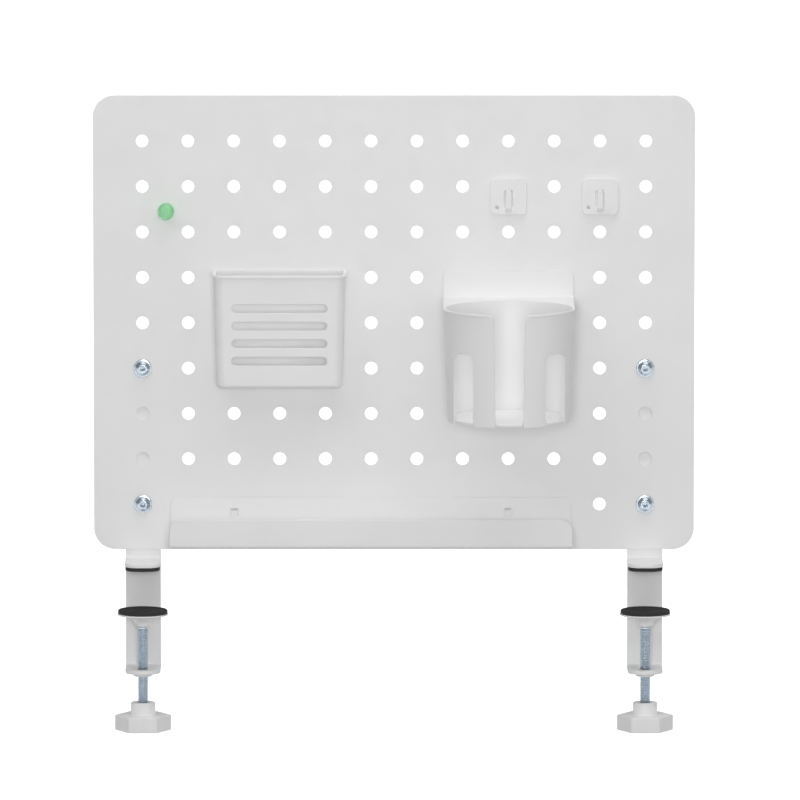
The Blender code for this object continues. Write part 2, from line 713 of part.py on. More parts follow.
def cup_holder():
    """The cup holder: flange, rim plate and a round wall with a slot and two windows."""
    centre_x, hole_z, top, rim, foot = cup_plane()
    axis_y = HANG_Y - CUP_OUT
    middle = (centre_x, axis_y, (rim + foot) / 2 - GAP / 2)
    height = CUP_DEPTH - GAP
    obj = place(
        "cup_holder",
        cone(middle, (0, 0, 1), height, CUP_BOTTOM_R, CUP_R, 48),
        powder_coat("cup_holder_powder_coat"),
        (centre_x, HANG_Y, hole_z),
    )
    plate_low = rim - CUP_PLATE_T
    front_half = arc((centre_x, axis_y), CUP_R + 0.3 * MM, -180, 0, 24)
    plate_back = HANG_Y - CUP_FLANGE_T / 2
    half_flange = CUP_FLANGE_W / 2
    outline = front_half + [(centre_x + half_flange - 0.4 * MM, plate_back)]
    outline.append((centre_x - half_flange + 0.4 * MM, plate_back))
    add(obj, plan_plate([outline], plate_low, rim))
    low = (centre_x - half_flange, plate_low - 0.2 * MM)
    high = (centre_x + half_flange, top)
    flange = rounded(rectangle(low, high), [0, 0, CUP_FLANGE_R, CUP_FLANGE_R], 5)
    add(obj, front_plate([flange], HANG_Y - CUP_FLANGE_T, HANG_Y))
    slope = (CUP_R - CUP_BOTTOM_R) / CUP_DEPTH
    over = 5 * MM
    inner_top = CUP_R - CUP_WALL + slope * over
    inner_low = CUP_BOTTOM_R - CUP_WALL - slope * over
    inner_middle = (centre_x, axis_y, (rim + foot) / 2)
    cut(obj, cone(inner_middle, (0, 0, 1), CUP_DEPTH + 2 * over, inner_low, inner_top, 48))
    front = axis_y - CUP_R - 5 * MM
    cut(obj, front_plate([slot_outline(centre_x, rim, foot)], front, axis_y))
    for side in (-1, 1):
        inner_x = centre_x + side * WINDOW_INNER_X
        outer_x = centre_x + side * WINDOW_OUTER_X
        window_low = (min(inner_x, outer_x), foot - 3 * MM)
        window_high = (max(inner_x, outer_x), foot + WINDOW_H)
        radii = [0, 0, WINDOW_R, WINDOW_R]
        outline = rounded(rectangle(window_low, window_high), radii, 4)
        cut(obj, front_plate([outline], front, axis_y - 5 * MM))
    for column in CUP_COLUMNS:
        add(obj, lug(grid_x(column), hole_z, CUP_FLANGE_T))


def cup_floor():
    """The cup holder's floor, with tabs that reach into the slot and windows."""
    centre_x, hole_z, _, _, foot = cup_plane()
    axis_y = HANG_Y - CUP_OUT
    low = foot + FLOOR_OVER_FOOT
    middle_z = low + FLOOR_T / 2
    disc_r = CUP_BOTTOM_R - CUP_WALL - 2 * GAP
    disc = cylinder((centre_x, axis_y, middle_z), (0, 0, 1), FLOOR_T, disc_r, 48)
    finish = powder_coat("cup_floor_powder_coat")
    obj = place("cup_floor", disc, finish, (centre_x, HANG_Y, hole_z))
    reach = CUP_BOTTOM_R - 0.5 * MM
    spans = [(-CUP_SLOT_BOTTOM_W / 2 + MM, CUP_SLOT_BOTTOM_W / 2 - MM)]
    spans.append((WINDOW_INNER_X + MM, WINDOW_OUTER_X - MM))
    spans.append((-WINDOW_OUTER_X + MM, -WINDOW_INNER_X - MM))
    thin = 0.1 * MM
    for first, last in spans:
        start = math.degrees(math.asin(first / reach)) - 90
        end = math.degrees(math.asin(last / reach)) - 90
        outer = arc((0, 0), reach, start, end, 5)
        back = [(last, outer[-1][1] + 4 * MM), (first, outer[0][1] + 4 * MM)]
        outline = [(centre_x + px, axis_y + py) for px, py in outer + back]
        add(obj, plan_plate([outline], low + thin, low + FLOOR_T - thin))


def hook_plate(name, column):
    """A square plate with a lug at its back and a hook struck forward out of its slot."""
    x = grid_x(column)
    hole_z = row_z(HOOK_ROW)
    centre_z = hole_z - HOOK_PLATE_DROP
    half = HOOK_PLATE / 2
    front = HANG_Y - HOOK_PLATE_T
    eye = (x - 8.7 * MM, centre_z - 8.1 * MM)
    slot_low = centre_z - 7.7 * MM
    slot = rectangle((x - HOOK_SLOT_W / 2, slot_low), (x + HOOK_SLOT_W / 2, slot_low + HOOK_SLOT_H))
    outlines = [
        rounded(rectangle((x - half, centre_z - half), (x + half, centre_z + half)), [HOOK_PLATE_R] * 4),
        slot,
        arc(eye, HOOK_EYE_R, 0, 360, 12)[:-1],
    ]
    mesh = front_plate(outlines, front, HANG_Y)
    obj = place(name, mesh, powder_coat(f"{name}_powder_coat"), (x, HANG_Y, hole_z))
    line_z = slot_low - 2 * MM
    tip_y = front - HOOK_OUT + HOOK_T / 2
    line = [(HANG_Y - HOOK_PLATE_T / 2, line_z), (tip_y, line_z), (tip_y, line_z + HOOK_H)]
    add(obj, side_plate(strip(line, HOOK_T, 1.5 * MM), x - HOOK_W / 2, x + HOOK_W / 2))
    add(obj, lug(x, hole_z, HOOK_PLATE_T))


def push_pin():
    """The translucent pin cap and the magnet in its base."""
    at = (grid_x(PIN_COLUMN), HANG_Y, row_z(PIN_ROW))
    cap = [(0, 15), (4.4, 15), (5.5, 14.2), (5.8, 12.8), (5.2, 11), (4, 9.2), (3.9, 6), (4.6, 4.4)]
    cap += [(6.0, 3.4), (6.15, 2.8), (6.15, 0), (4.9, 0), (4.9, 2.4), (0, 2.4)]
    magnet = [(0, 2.1), (4.6, 2.1), (4.6, 0), (0, 0)]
    green = material("pin_green_plastic", (0.10, 0.55, 0.16), 0.15, 0.0)
    turned("pin_cap", [(r * MM, h * MM) for r, h in cap], green, at, "Y", 18)
    nickel = material("pin_magnet_nickel", (0.70, 0.70, 0.72), 0.25, 1.0)
    turned("pin_magnet", [(r * MM, h * MM) for r, h in magnet], nickel, at, "Y")


def build():
    """Build the whole assembly."""
    global MODEL, CUTTERS
    clear_scene()
    MODEL = new_collection("desk_pegboard")
    CUTTERS = new_collection("cutters")
    CUTTERS.hide_render = True
    peg_panel()
    clamp("left", -CLAMP_X)
    clamp("right", CLAMP_X)
    tray()
    pen_box()
    cup_holder()
    cup_floor()
    for number, column in enumerate(HOOK_COLUMNS, start=1):
        hook_plate(f"hook_plate_{number}", column)
    push_pin()


build()
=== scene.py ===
"""Desk-clamp pegboard organiser: finished pieces and studio, made round the packed frame.

Metres, +Z up, the front faces -Y, in the frame's own axes.
"""

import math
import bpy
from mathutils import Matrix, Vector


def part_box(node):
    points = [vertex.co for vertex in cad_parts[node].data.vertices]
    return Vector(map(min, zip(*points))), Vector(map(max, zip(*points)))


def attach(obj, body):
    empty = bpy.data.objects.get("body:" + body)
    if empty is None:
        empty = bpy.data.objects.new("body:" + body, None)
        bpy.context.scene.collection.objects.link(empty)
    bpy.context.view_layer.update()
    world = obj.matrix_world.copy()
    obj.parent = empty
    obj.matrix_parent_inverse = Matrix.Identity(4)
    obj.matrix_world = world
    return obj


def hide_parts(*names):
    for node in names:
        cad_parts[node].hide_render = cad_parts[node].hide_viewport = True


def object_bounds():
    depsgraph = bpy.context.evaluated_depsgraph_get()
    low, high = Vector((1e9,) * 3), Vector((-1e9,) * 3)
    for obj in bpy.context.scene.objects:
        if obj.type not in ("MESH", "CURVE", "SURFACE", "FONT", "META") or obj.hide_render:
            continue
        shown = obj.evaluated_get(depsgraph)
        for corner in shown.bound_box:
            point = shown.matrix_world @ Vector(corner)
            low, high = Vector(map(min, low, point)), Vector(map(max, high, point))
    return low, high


bl_info = {
    "name": "Desk Pegboard",
    "version": (1, 0, 0),
    "blender": (4, 5, 0),
    "location": "3D View > Sidebar > Pegboard",
    "description": "Makes the finished pieces of a desk-clamp pegboard organiser and its studio",
    "category": "Add Mesh",
}

import bmesh
import bpy
from bpy.props import FloatProperty, FloatVectorProperty, IntProperty, PointerProperty
from mathutils import Matrix, Vector

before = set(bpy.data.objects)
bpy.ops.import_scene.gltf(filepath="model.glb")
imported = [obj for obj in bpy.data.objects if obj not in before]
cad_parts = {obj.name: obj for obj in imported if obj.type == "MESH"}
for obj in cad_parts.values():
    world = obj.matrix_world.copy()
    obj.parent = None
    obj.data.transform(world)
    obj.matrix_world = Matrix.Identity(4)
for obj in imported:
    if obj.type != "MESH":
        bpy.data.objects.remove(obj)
CAD_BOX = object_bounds()

MM = 0.001
PANEL_LOW, PANEL_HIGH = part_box("peg_panel")
GAP = 0.3 * MM  # air between neighbouring pieces
HANG_Y = PANEL_LOW.y - GAP  # backs of everything that hangs on the panel
SIDES = ("left", "right")


def length(name, description, millimetres):
    """A size property in millimetres of default."""
    return FloatProperty(
        name=name,
        description=description,
        default=millimetres * MM,
        min=0,
        unit="LENGTH",
        subtype="DISTANCE",
        precision=5,
    )


def colour(name, description, default):
    """A colour property."""
    return FloatVectorProperty(
        name=name, description=description, default=default, subtype="COLOR", size=3, min=0, max=1
    )


# ---------------------------------------------------------------- properties


class PanelSizes(bpy.types.PropertyGroup):
    """Sizes of the perforated panel."""

    pitch: length("Hole Pitch", "Distance between neighbouring holes", 35)
    hole_r: length("Hole Radius", "Radius of each round hole", 4.9)
    corner_r: length("Corner Radius", "Radius of the panel's corners", 16.5)
    edge_r: length("Edge Radius", "Roundness of the coated sheet's edges", 0.5)
    columns: IntProperty(name="Columns", description="Columns of holes", default=12, min=1)
    rows: IntProperty(name="Rows", description="Rows of holes", default=9, min=1)


class ClampSizes(bpy.types.PropertyGroup):
    """Sizes of the two desk clamps."""

    steel_t: length("Steel", "Thickness of the bracket steel", 3)
    strip_w: length("Strip Width", "Width of the bracket strips", 27)
    bend_r: length("Bend Radius", "Inner radius of the bracket bends", 1.5)
    edge_r: length("Edge Radius", "Roundness of the bracket edges", 0.6)
    jaw_corner_r: length("Jaw Corner", "Corner radius of the upper jaw", 10)
    top_corner_r: length("Strip Corner", "Corner radius at the strips' top ends", 6)
    thread_r: length("Thread Radius", "Crest radius of the clamp screw's thread", 4)
    thread_pitch: length("Thread Pitch", "Rise of the thread in one turn", 1.25)
    thread_depth: length("Thread Depth", "Depth of the thread's grooves", 0.68)
    knob_r: length("Knob Radius", "Knob radius at its corners", 21.9)
    knob_corner_r: length("Knob Corner", "Roundness of the knob's corners", 2.5)
    collar_r: length("Collar Radius", "Radius of the knob's collar", 9.45)
    collar_h: length("Collar Height", "Height of the knob's collar", 9.7)
    foot_r: length("Foot Radius", "Radius of the pressure foot's steel disc", 19.5)


class HolderSizes(bpy.types.PropertyGroup):
    """Sizes of the tray, pen box, cup holder, hooks and pin."""

    edge_r: length("Edge Radius", "Roundness of the coated sheet edges", 0.5)
    tray_t: length("Tray Sheet", "Thickness of the tray's sheet", 1.5)
    tray_back_r: length("Tray Back Corner", "Corner radius of the tray's back", 6)
    tray_lip_r: length("Tray Lip Corner", "Corner radius of the tray's lip", 9.6)
    tray_lip_h: length("Tray Lip", "Height of the tray's lip", 22.4)
    box_top_w: length("Box Top Width", "Width of the pen box at its top", 100)
    box_low_w: length("Box Bottom Width", "Width of the pen box at its bottom", 96)
    box_wall: length("Box Wall", "Wall of the pen box", 1.6)
    box_corner_r: length("Box Corner", "Radius of the pen box's front corners", 7)
    box_rim_out: length("Box Rim", "How far the pen box's rim stands out", 1.4)
    box_rim_h: length("Box Rim Height", "Height of the pen box's rim", 2.2)
    box_foot_r: length("Box Foot", "Roundness of the pen box's bottom edge", 3)
    first_slot: length("First Slot", "Middle of the top slot below the pen box's rim", 25.5)
    slot_w: length("Slot Width", "Width of the pen box's slots", 73)
    slot_h: length("Slot Height", "Height of the pen box's slots", 6.6)
    slot_pitch: length("Slot Pitch", "Distance between slots", 13.45)
    cup_r: length("Cup Radius", "Outer radius of the cup at its rim", 50)
    cup_foot_r: length("Cup Foot Radius", "Outer radius of the cup at its foot", 46.5)
    cup_wall: length("Cup Wall", "Wall of the cup", 1.8)
    cup_out: length("Cup Reach", "Distance of the cup's axis from the panel", 68)
    flange_h: length("Flange", "Height of the cup holder's flange above its rim", 20.6)
    flange_w: length("Flange Width", "Width of the cup holder's flange", 100)
    flange_t: length("Flange Sheet", "Thickness of the cup holder's flange", 2)
    flange_r: length("Flange Corner", "Radius of the flange's corners", 5)
    mouth_flare: length("Slot Flare", "Radius where the handle slot opens at the rim", 4)
    mouth_w: length("Handle Slot", "Width of the handle slot under the rim", 24.4)
    mouth_low_w: length("Handle Slot Foot", "Width of the handle slot at the foot", 21.5)
    window_in: length("Window Inner", "Inner side of the cup's windows from its middle", 27.5)
    window_out: length("Window Outer", "Outer side of the cup's windows from its middle", 42)
    window_h: length("Window Height", "Height of the cup's windows", 55)
    hook_plate_t: length("Hook Plate", "Thickness of the hook plates", 2.4)
    hook_w: length("Hook Width", "Width of the hook strips", 4.4)
    hook_t: length("Hook Thickness", "Thickness of the hook strips", 2)


class Finishes(bpy.types.PropertyGroup):
    """Colours of the finishes."""

    steel: colour("Powder Coat", "Colour of the coated steel", (0.94, 0.94, 0.94))
    plastic: colour("Knob Plastic", "Colour of the knobs", (0.94, 0.94, 0.94))
    rubber: colour("Rubber", "Colour of the pads", (0.012, 0.012, 0.013))
    zinc: colour("Zinc", "Colour of the screws", (0.42, 0.48, 0.54))
    pin: colour("Pin Plastic", "Colour of the clear pin", (0.5, 1.0, 0.6))
    floor: colour("Floor", "Colour of the studio floor", (0.92, 0.92, 0.92))


class StudioSettings(bpy.types.PropertyGroup):
    """Camera and lights."""

    distance: FloatProperty(
        name="Distance", description="Camera distance", default=10, unit="LENGTH", subtype="DISTANCE"
    )
    elevation: FloatProperty(
        name="Elevation",
        description="Camera angle above the horizon",
        default=math.radians(7.3),
        unit="ROTATION",
        subtype="ANGLE",
    )
    lens: FloatProperty(name="Lens", description="Focal length", default=590.4, unit="CAMERA")
    aim_x: FloatProperty(
        name="Aim Sideways", description="Where the camera aims, to the right of the middle", default=4.6 * MM
    )
    aim_z: FloatProperty(
        name="Aim Up", description="Where the camera aims, above the model's middle", default=15.7 * MM
    )
    floor_drop: length("Floor Drop", "Room under the knobs for the clamp screws' travel", 36)
    key: FloatProperty(name="Key Light", description="Power of the upper left light", default=10.5)
    fill: FloatProperty(name="Fill Light", description="Power of the right light", default=6)
    front: FloatProperty(name="Front Light", description="Power of the small light in front", default=21)
    top: FloatProperty(name="Top Light", description="Power of the overhead light", default=31.5)
    sky: FloatProperty(name="Sky", description="Brightness of the surroundings", default=0.317)
    glow: FloatProperty(name="Floor Glow", description="Light that the floor itself gives", default=0.82)


# ---------------------------------------------------------------- outlines


def arc(centre, radius, start, end, steps):
    """Points on an arc, degrees."""
    angles = [math.radians(start + (end - start) * i / steps) for i in range(steps + 1)]
    return [(centre[0] + radius * math.cos(a), centre[1] + radius * math.sin(a)) for a in angles]


def circle(centre, radius, steps=36):
    """Points round a circle."""
    return arc(centre, radius, 0, 360, steps)[:-1]


def rectangle(low, high):
    """The corners of a rectangle, from its lowest corner to the right and round."""
    return [low, (high[0], low[1]), high, (low[0], high[1])]


def rounded(points, radii, steps=8, closed=True):
    """A line or outline with each corner rounded by its own radius."""
    count = len(points)
    line = []
    for i, (point, radius) in enumerate(zip(points, radii)):
        here = Vector(point)
        if radius <= 0 or (not closed and i in (0, count - 1)):
            line.append(tuple(here))
            continue
        before = (Vector(points[i - 1]) - here).normalized()
        after = (Vector(points[(i + 1) % count]) - here).normalized()
        half = before.angle(after) / 2
        centre = here + (before + after).normalized() * radius / math.sin(half)
        first = here + before * radius / math.tan(half) - centre
        last = here + after * radius / math.tan(half) - centre
        sweep = math.atan2(first.x * last.y - first.y * last.x, first.dot(last))
        for step in range(steps + 1):
            turned = Matrix.Rotation(sweep * step / steps, 2) @ first
            line.append(tuple(centre + turned))
    return line


# ---------------------------------------------------------------- meshes


def mesh_of(bm):
    """A mesh from a bmesh, its faces turned outwards."""
    bmesh.ops.recalc_face_normals(bm, faces=bm.faces)
    mesh = bpy.data.meshes.new("shape")
    bm.to_mesh(mesh)
    bm.free()
    return mesh


def joined(*meshes):
    """Several meshes as one."""
    bm = bmesh.new()
    for mesh in meshes:
        bm.from_mesh(mesh)
    mesh = bpy.data.meshes.new("shape")
    bm.to_mesh(mesh)
    bm.free()
    return mesh


def moved(mesh, matrix):
    """A mesh after a transform."""
    mesh.transform(matrix)
    return mesh


def blank(outlines, thickness, edge_r, segments=3):
    """A flat sheet cut to its outlines, holes included, with rounded edges, centred on Z."""
    curve = bpy.data.curves.new("outline", "CURVE")
    curve.dimensions = "2D"
    curve.fill_mode = "BOTH"
    edge_r = min(edge_r, thickness / 2 * 0.98)
    curve.extrude = thickness / 2 - edge_r
    curve.bevel_depth = edge_r
    curve.bevel_resolution = segments - 1
    curve.offset = -edge_r
    for outline in outlines:
        spline = curve.splines.new("POLY")
        spline.points.add(len(outline) - 1)
        for point, (x, y) in zip(spline.points, outline):
            point.co = (x, y, 0, 1)
        spline.use_cyclic_u = True
    holder = bpy.data.objects.new("outline", curve)
    bpy.context.scene.collection.objects.link(holder)
    depsgraph = bpy.context.evaluated_depsgraph_get()
    mesh = bpy.data.meshes.new_from_object(holder.evaluated_get(depsgraph))
    bpy.data.objects.remove(holder)
    bm = bmesh.new()
    bm.from_mesh(mesh)
    bmesh.ops.remove_doubles(bm, verts=bm.verts, dist=1e-6)
    return mesh_of(bm)


def creased(mesh, places, along):
    """A mesh with extra edges across it at each place along an axis, so that it can be bent."""
    normal = Vector((0, 0, 0))
    normal[along] = 1
    bm = bmesh.new()
    bm.from_mesh(mesh)
    for place in places:
        geometry = bm.verts[:] + bm.edges[:] + bm.faces[:]
        bmesh.ops.bisect_plane(bm, geom=geometry, dist=1e-7, plane_co=normal * place, plane_no=normal)
    bmesh.ops.triangulate(bm, faces=[f for f in bm.faces if len(f.verts) > 4])
    return mesh_of(bm)


def bend_stations(line, radius, steps=8):
    """(length so far, place, direction) along a centre line whose corners are bent."""
    points = [Vector(p) for p in line]
    here, travelled = points[0], 0.0
    direction = (points[1] - points[0]).normalized()
    stations = [(0.0, here, direction)]
    for i in range(1, len(points) - 1):
        after = (points[i + 1] - points[i]).normalized()
        turn = math.atan2(direction.x * after.y - direction.y * after.x, direction.dot(after))
        start = points[i] - direction * radius * math.tan(abs(turn) / 2)
        travelled += (start - here).length
        side = Vector((-direction.y, direction.x)) * math.copysign(1, turn)
        centre = start + side * radius
        for step in range(steps + 1):
            spin = Matrix.Rotation(turn * step / steps, 2)
            part = radius * abs(turn) * step / steps
            stations.append((travelled + part, centre - (spin @ side) * radius, spin @ direction))
        travelled += radius * abs(turn)
        here, direction = stations[-1][1], after
    travelled += (points[-1] - here).length
    stations.append((travelled, points[-1], direction))
    return stations


def folded(outline_of, line, radius, thickness, edge_r, x=0.0, steps=8):
    """A sheet cut flat and folded along a line in Y and Z. outline_of(length) gives its outlines,
    whose second coordinate runs along the line."""
    stations = bend_stations(line, radius, steps)
    flat = blank(outline_of(stations[-1][0]), thickness, edge_r)
    mesh = creased(flat, [s[0] for s in stations[1:-1]], 1)
    for vert in mesh.vertices:
        along = vert.co.y
        for before, after in zip(stations, stations[1:]):
            if along <= after[0] + 1e-9 or after is stations[-1]:
                break
        share = (along - before[0]) / max(after[0] - before[0], 1e-12)
        place = before[1].lerp(after[1], share) if 0 <= share <= 1 else before[1] + before[2] * (
            along - before[0]
        )
        direction = before[2].lerp(after[2], min(max(share, 0), 1)).normalized()
        place = place + Vector((-direction.y, direction.x)) * vert.co.z
        vert.co = (x + vert.co.x, place.x, place.y)
    bm = bmesh.new()
    bm.from_mesh(mesh)
    return mesh_of(bm)


def lathe(profile, steps=64):
    """A turned mesh round Z from (radius, height) points; ends on the axis are closed."""
    bm = bmesh.new()
    rings = []
    for radius, height in profile:
        if radius < 1e-7:
            rings.append([bm.verts.new((0, 0, height))])
            continue
        angles = [2 * math.pi * i / steps for i in range(steps)]
        rings.append([bm.verts.new((radius * math.cos(a), radius * math.sin(a), height)) for a in angles])
    for first, second in zip(rings, rings[1:]):
        for i in range(steps):
            j = (i + 1) % steps
            if len(first) == 1 and len(second) == 1:
                continue
            if len(first) == 1:
                bm.faces.new((first[0], second[i], second[j]))
            elif len(second) == 1:
                bm.faces.new((first[i], second[0], first[j]))
            else:
                bm.faces.new((first[i], second[i], second[j], first[j]))
    return mesh_of(bm)


def turned(points, radii, steps=64, fillet=5):
    """A turned mesh whose profile corners are rounded; sizes in millimetres."""
    line = rounded([(r * MM, h * MM) for r, h in points], [r * MM for r in radii], fillet, closed=False)
    return lathe([(max(r, 0), h) for r, h in line], steps)


def ring(points, radii, steps=64, fillet=4):
    """A turned mesh of a closed profile that stays off the axis; sizes in millimetres."""
    line = rounded([(r * MM, h * MM) for r, h in points], [r * MM for r in radii], fillet)
    bm = bmesh.new()
    bm.from_mesh(lathe(line + line[:1], steps))
    bmesh.ops.remove_doubles(bm, verts=bm.verts, dist=1e-7)
    return mesh_of(bm)


def screw_thread(crest_r, depth, pitch, low, high, sides=40):
    """A threaded rod round Z: a core and a ridge wound round it, fading out at both ends."""
    root_r = crest_r - depth
    core = lathe(
        [(0, low), (root_r - 0.4 * MM, low), (root_r, low + 0.4 * MM), (root_r, high), (0, high)], sides
    )
    shape = ((-0.46, 0), (-0.09, 1), (0.09, 1), (0.46, 0))
    count = int((high - low - pitch) / pitch * sides)
    bm = bmesh.new()
    before = None
    for i in range(count + 1):
        angle = 2 * math.pi * i / sides
        middle = low + pitch * 0.5 + pitch * i / sides
        fade = min(1, i / sides * 1.5, (count - i) / sides * 1.5)
        row = []
        for offset, rise in shape:
            radius = root_r - 0.03 * MM + (depth + 0.03 * MM) * rise * fade
            row.append(
                bm.verts.new((radius * math.cos(angle), radius * math.sin(angle), middle + offset * pitch))
            )
        if before:
            for k in range(4):
                j = (k + 1) % 4
                bm.faces.new((before[k], row[k], row[j], before[j]))
        else:
            bm.faces.new(row[::-1])
        before = row
    bm.faces.new(before)
    return joined(core, mesh_of(bm))


def lofted(loops):
    """A closed mesh through loops of equal counts, its two ends filled."""
    bm = bmesh.new()
    rows = [[bm.verts.new(p) for p in loop] for loop in loops]
    for first, second in zip(rows, rows[1:]):
        for i in range(len(first)):
            j = (i + 1) % len(first)
            bm.faces.new((first[i], first[j], second[j], second[i]))
    bm.faces.new(rows[0])
    bm.faces.new(rows[-1])
    return mesh_of(bm)


def combined(mesh, others, operation="DIFFERENCE"):
    """A mesh with others cut out of it or joined to it."""
    holder = bpy.data.objects.new("holder", mesh)
    bpy.context.scene.collection.objects.link(holder)
    tools = []
    for other in others:
        tool = bpy.data.objects.new("tool", other)
        bpy.context.scene.collection.objects.link(tool)
        modifier = holder.modifiers.new("cut", "BOOLEAN")
        modifier.operation = operation
        modifier.object = tool
        modifier.solver = "EXACT"
        tools.append(tool)
    depsgraph = bpy.context.evaluated_depsgraph_get()
    made = bpy.data.meshes.new_from_object(holder.evaluated_get(depsgraph))
    for obj in tools + [holder]:
        bpy.data.objects.remove(obj)
    return made


FRONT = Matrix.Rotation(math.radians(90), 4, "X")  # Y of a flat shape becomes Z, Z of a turned one the front


def upright(outlines, front_y, back_y, edge_r):
    """A plate whose outlines are in X and Z."""
    mesh = blank(outlines, back_y - front_y, edge_r)
    return moved(mesh, Matrix.Translation((0, (front_y + back_y) / 2, 0)) @ FRONT)


def level(outlines, low_z, high_z, edge_r):
    """A plate whose outlines are in X and Y."""
    mesh = blank(outlines, high_z - low_z, edge_r)
    return moved(mesh, Matrix.Translation((0, 0, (low_z + high_z) / 2)))


# ---------------------------------------------------------------- finishes


def new_finish(name, metallic=0.0, roughness=0.5, **constants):
    """A material, its node tree and its shader."""
    made = bpy.data.materials.new(name)
    made.use_nodes = True
    shader = made.node_tree.nodes["Principled BSDF"]
    shader.inputs["Metallic"].default_value = metallic
    shader.inputs["Roughness"].default_value = roughness
    for socket, value in constants.items():
        shader.inputs[socket.replace("_", " ")].default_value = value
    return made, made.node_tree, shader


def grain(tree, size, detail=2.0, stretch=(1, 1, 1), shift=0.0):
    """Noise whose features have a given size."""
    where = tree.nodes.new("ShaderNodeTexCoord")
    mapping = tree.nodes.new("ShaderNodeMapping")
    mapping.inputs["Scale"].default_value = stretch
    mapping.inputs["Location"].default_value = (shift, shift * 0.7, shift * 1.3)
    noise = tree.nodes.new("ShaderNodeTexNoise")
    noise.inputs["Scale"].default_value = 1 / size
    noise.inputs["Detail"].default_value = detail
    tree.links.new(where.outputs["Object"], mapping.inputs["Vector"])
    tree.links.new(mapping.outputs["Vector"], noise.inputs["Vector"])
    return noise.outputs["Fac"]


def spread(tree, source, socket, low, high):
    """Spread a noise between two values into a socket."""
    node = tree.nodes.new("ShaderNodeMapRange")
    node.inputs["From Min"].default_value = 0.32
    node.inputs["From Max"].default_value = 0.68
    node.inputs["To Min"].default_value = low
    node.inputs["To Max"].default_value = high
    tree.links.new(source, node.inputs["Value"])
    tree.links.new(node.outputs["Result"], socket)


def tinted(tree, source, socket, base, low, high):
    """Vary a colour between two brightnesses into a socket."""
    ramp = tree.nodes.new("ShaderNodeValToRGB")
    for element, place, share in zip(ramp.color_ramp.elements, (0.34, 0.66), (low, high)):
        element.position = place
        element.color = (*[min(1, c * share) for c in base], 1)
    tree.links.new(source, ramp.inputs["Fac"])
    tree.links.new(ramp.outputs["Color"], socket)


def relief(tree, shader, *layers):
    """Surface relief from (noise, height) layers."""
    below = None
    for source, height in layers:
        bump = tree.nodes.new("ShaderNodeBump")
        bump.inputs["Strength"].default_value = 1.0
        bump.inputs["Distance"].default_value = height
        tree.links.new(source, bump.inputs["Height"])
        if below:
            tree.links.new(below, bump.inputs["Normal"])
        below = bump.outputs["Normal"]
    tree.links.new(below, shader.inputs["Normal"])


def powder_coat(colours):
    """White powder coat: a fine orange peel with a dusting of finer grain."""
    made, tree, shader = new_finish("powder_coat", roughness=0.42, IOR=1.5)
    peel = grain(tree, 1.4 * MM, 2.0)
    dust = grain(tree, 0.35 * MM, 3.0, shift=2.0)
    cloud = grain(tree, 38 * MM, 4.0, shift=5.0)
    tinted(tree, cloud, shader.inputs["Base Color"], colours.steel, 0.985, 1.01)
    spread(tree, grain(tree, 9 * MM, 5.0, shift=7.0), shader.inputs["Roughness"], 0.36, 0.5)
    relief(tree, shader, (peel, 0.035 * MM), (dust, 0.012 * MM))
    return made


def satin_plastic(colours):
    """White moulded plastic with an even spark-eroded texture."""
    made, tree, shader = new_finish("satin_plastic", roughness=0.38, IOR=1.49)
    tinted(tree, grain(tree, 14 * MM, 4.0), shader.inputs["Base Color"], colours.plastic, 0.98, 1.01)
    spread(tree, grain(tree, 5 * MM, 5.0, shift=3.0), shader.inputs["Roughness"], 0.32, 0.46)
    relief(tree, shader, (grain(tree, 0.45 * MM, 3.0, shift=1.0), 0.018 * MM))
    return made


def black_rubber(colours):
    """Matte black rubber with a dusty bloom."""
    made, tree, shader = new_finish("black_rubber", roughness=0.7, IOR=1.52)
    tinted(tree, grain(tree, 6 * MM, 6.0), shader.inputs["Base Color"], colours.rubber, 0.7, 2.2)
    spread(tree, grain(tree, 3 * MM, 5.0, shift=4.0), shader.inputs["Roughness"], 0.6, 0.85)
    relief(tree, shader, (grain(tree, 0.5 * MM, 4.0, shift=2.0), 0.03 * MM))
    return made


def zinc_plate(colours):
    """Bluish bright zinc plating with turning marks and slightly dull patches."""
    made, tree, shader = new_finish("zinc_plate", metallic=1.0, roughness=0.28)
    tinted(tree, grain(tree, 2.5 * MM, 5.0), shader.inputs["Base Color"], colours.zinc, 0.9, 1.05)
    spread(tree, grain(tree, 1.6 * MM, 6.0, shift=3.0), shader.inputs["Roughness"], 0.18, 0.32)
    turning = grain(tree, 1.0 * MM, 2.0, stretch=(0.25, 0.25, 6.0), shift=1.0)
    relief(tree, shader, (turning, 0.003 * MM), (grain(tree, 0.2 * MM, 2.0), 0.001 * MM))
    return made


def clear_green(colours):
    """Clear green plastic."""
    made, tree, shader = new_finish("clear_green", roughness=0.12, IOR=1.49, Transmission_Weight=0.55)
    tinted(tree, grain(tree, 4 * MM, 3.0), shader.inputs["Base Color"], colours.pin, 0.94, 1.05)
    spread(tree, grain(tree, 1.5 * MM, 4.0, shift=2.0), shader.inputs["Roughness"], 0.08, 0.18)
    relief(tree, shader, (grain(tree, 2.2 * MM, 2.0, shift=1.0), 0.012 * MM))
    return made


def nickel(colours):
    """Bright nickel plating of the magnet."""
    made, tree, shader = new_finish("nickel", metallic=1.0, roughness=0.2)
    tinted(tree, grain(tree, 1.5 * MM, 4.0), shader.inputs["Base Color"], (0.72, 0.71, 0.69), 0.9, 1.05)
    spread(tree, grain(tree, 0.8 * MM, 5.0, shift=2.0), shader.inputs["Roughness"], 0.14, 0.3)
    relief(tree, shader, (grain(tree, 0.3 * MM, 2.0, shift=1.0), 0.004 * MM))
    return made


MAKERS = {m.__name__: m for m in (powder_coat, satin_plastic, black_rubber, zinc_plate, clear_green, nickel)}


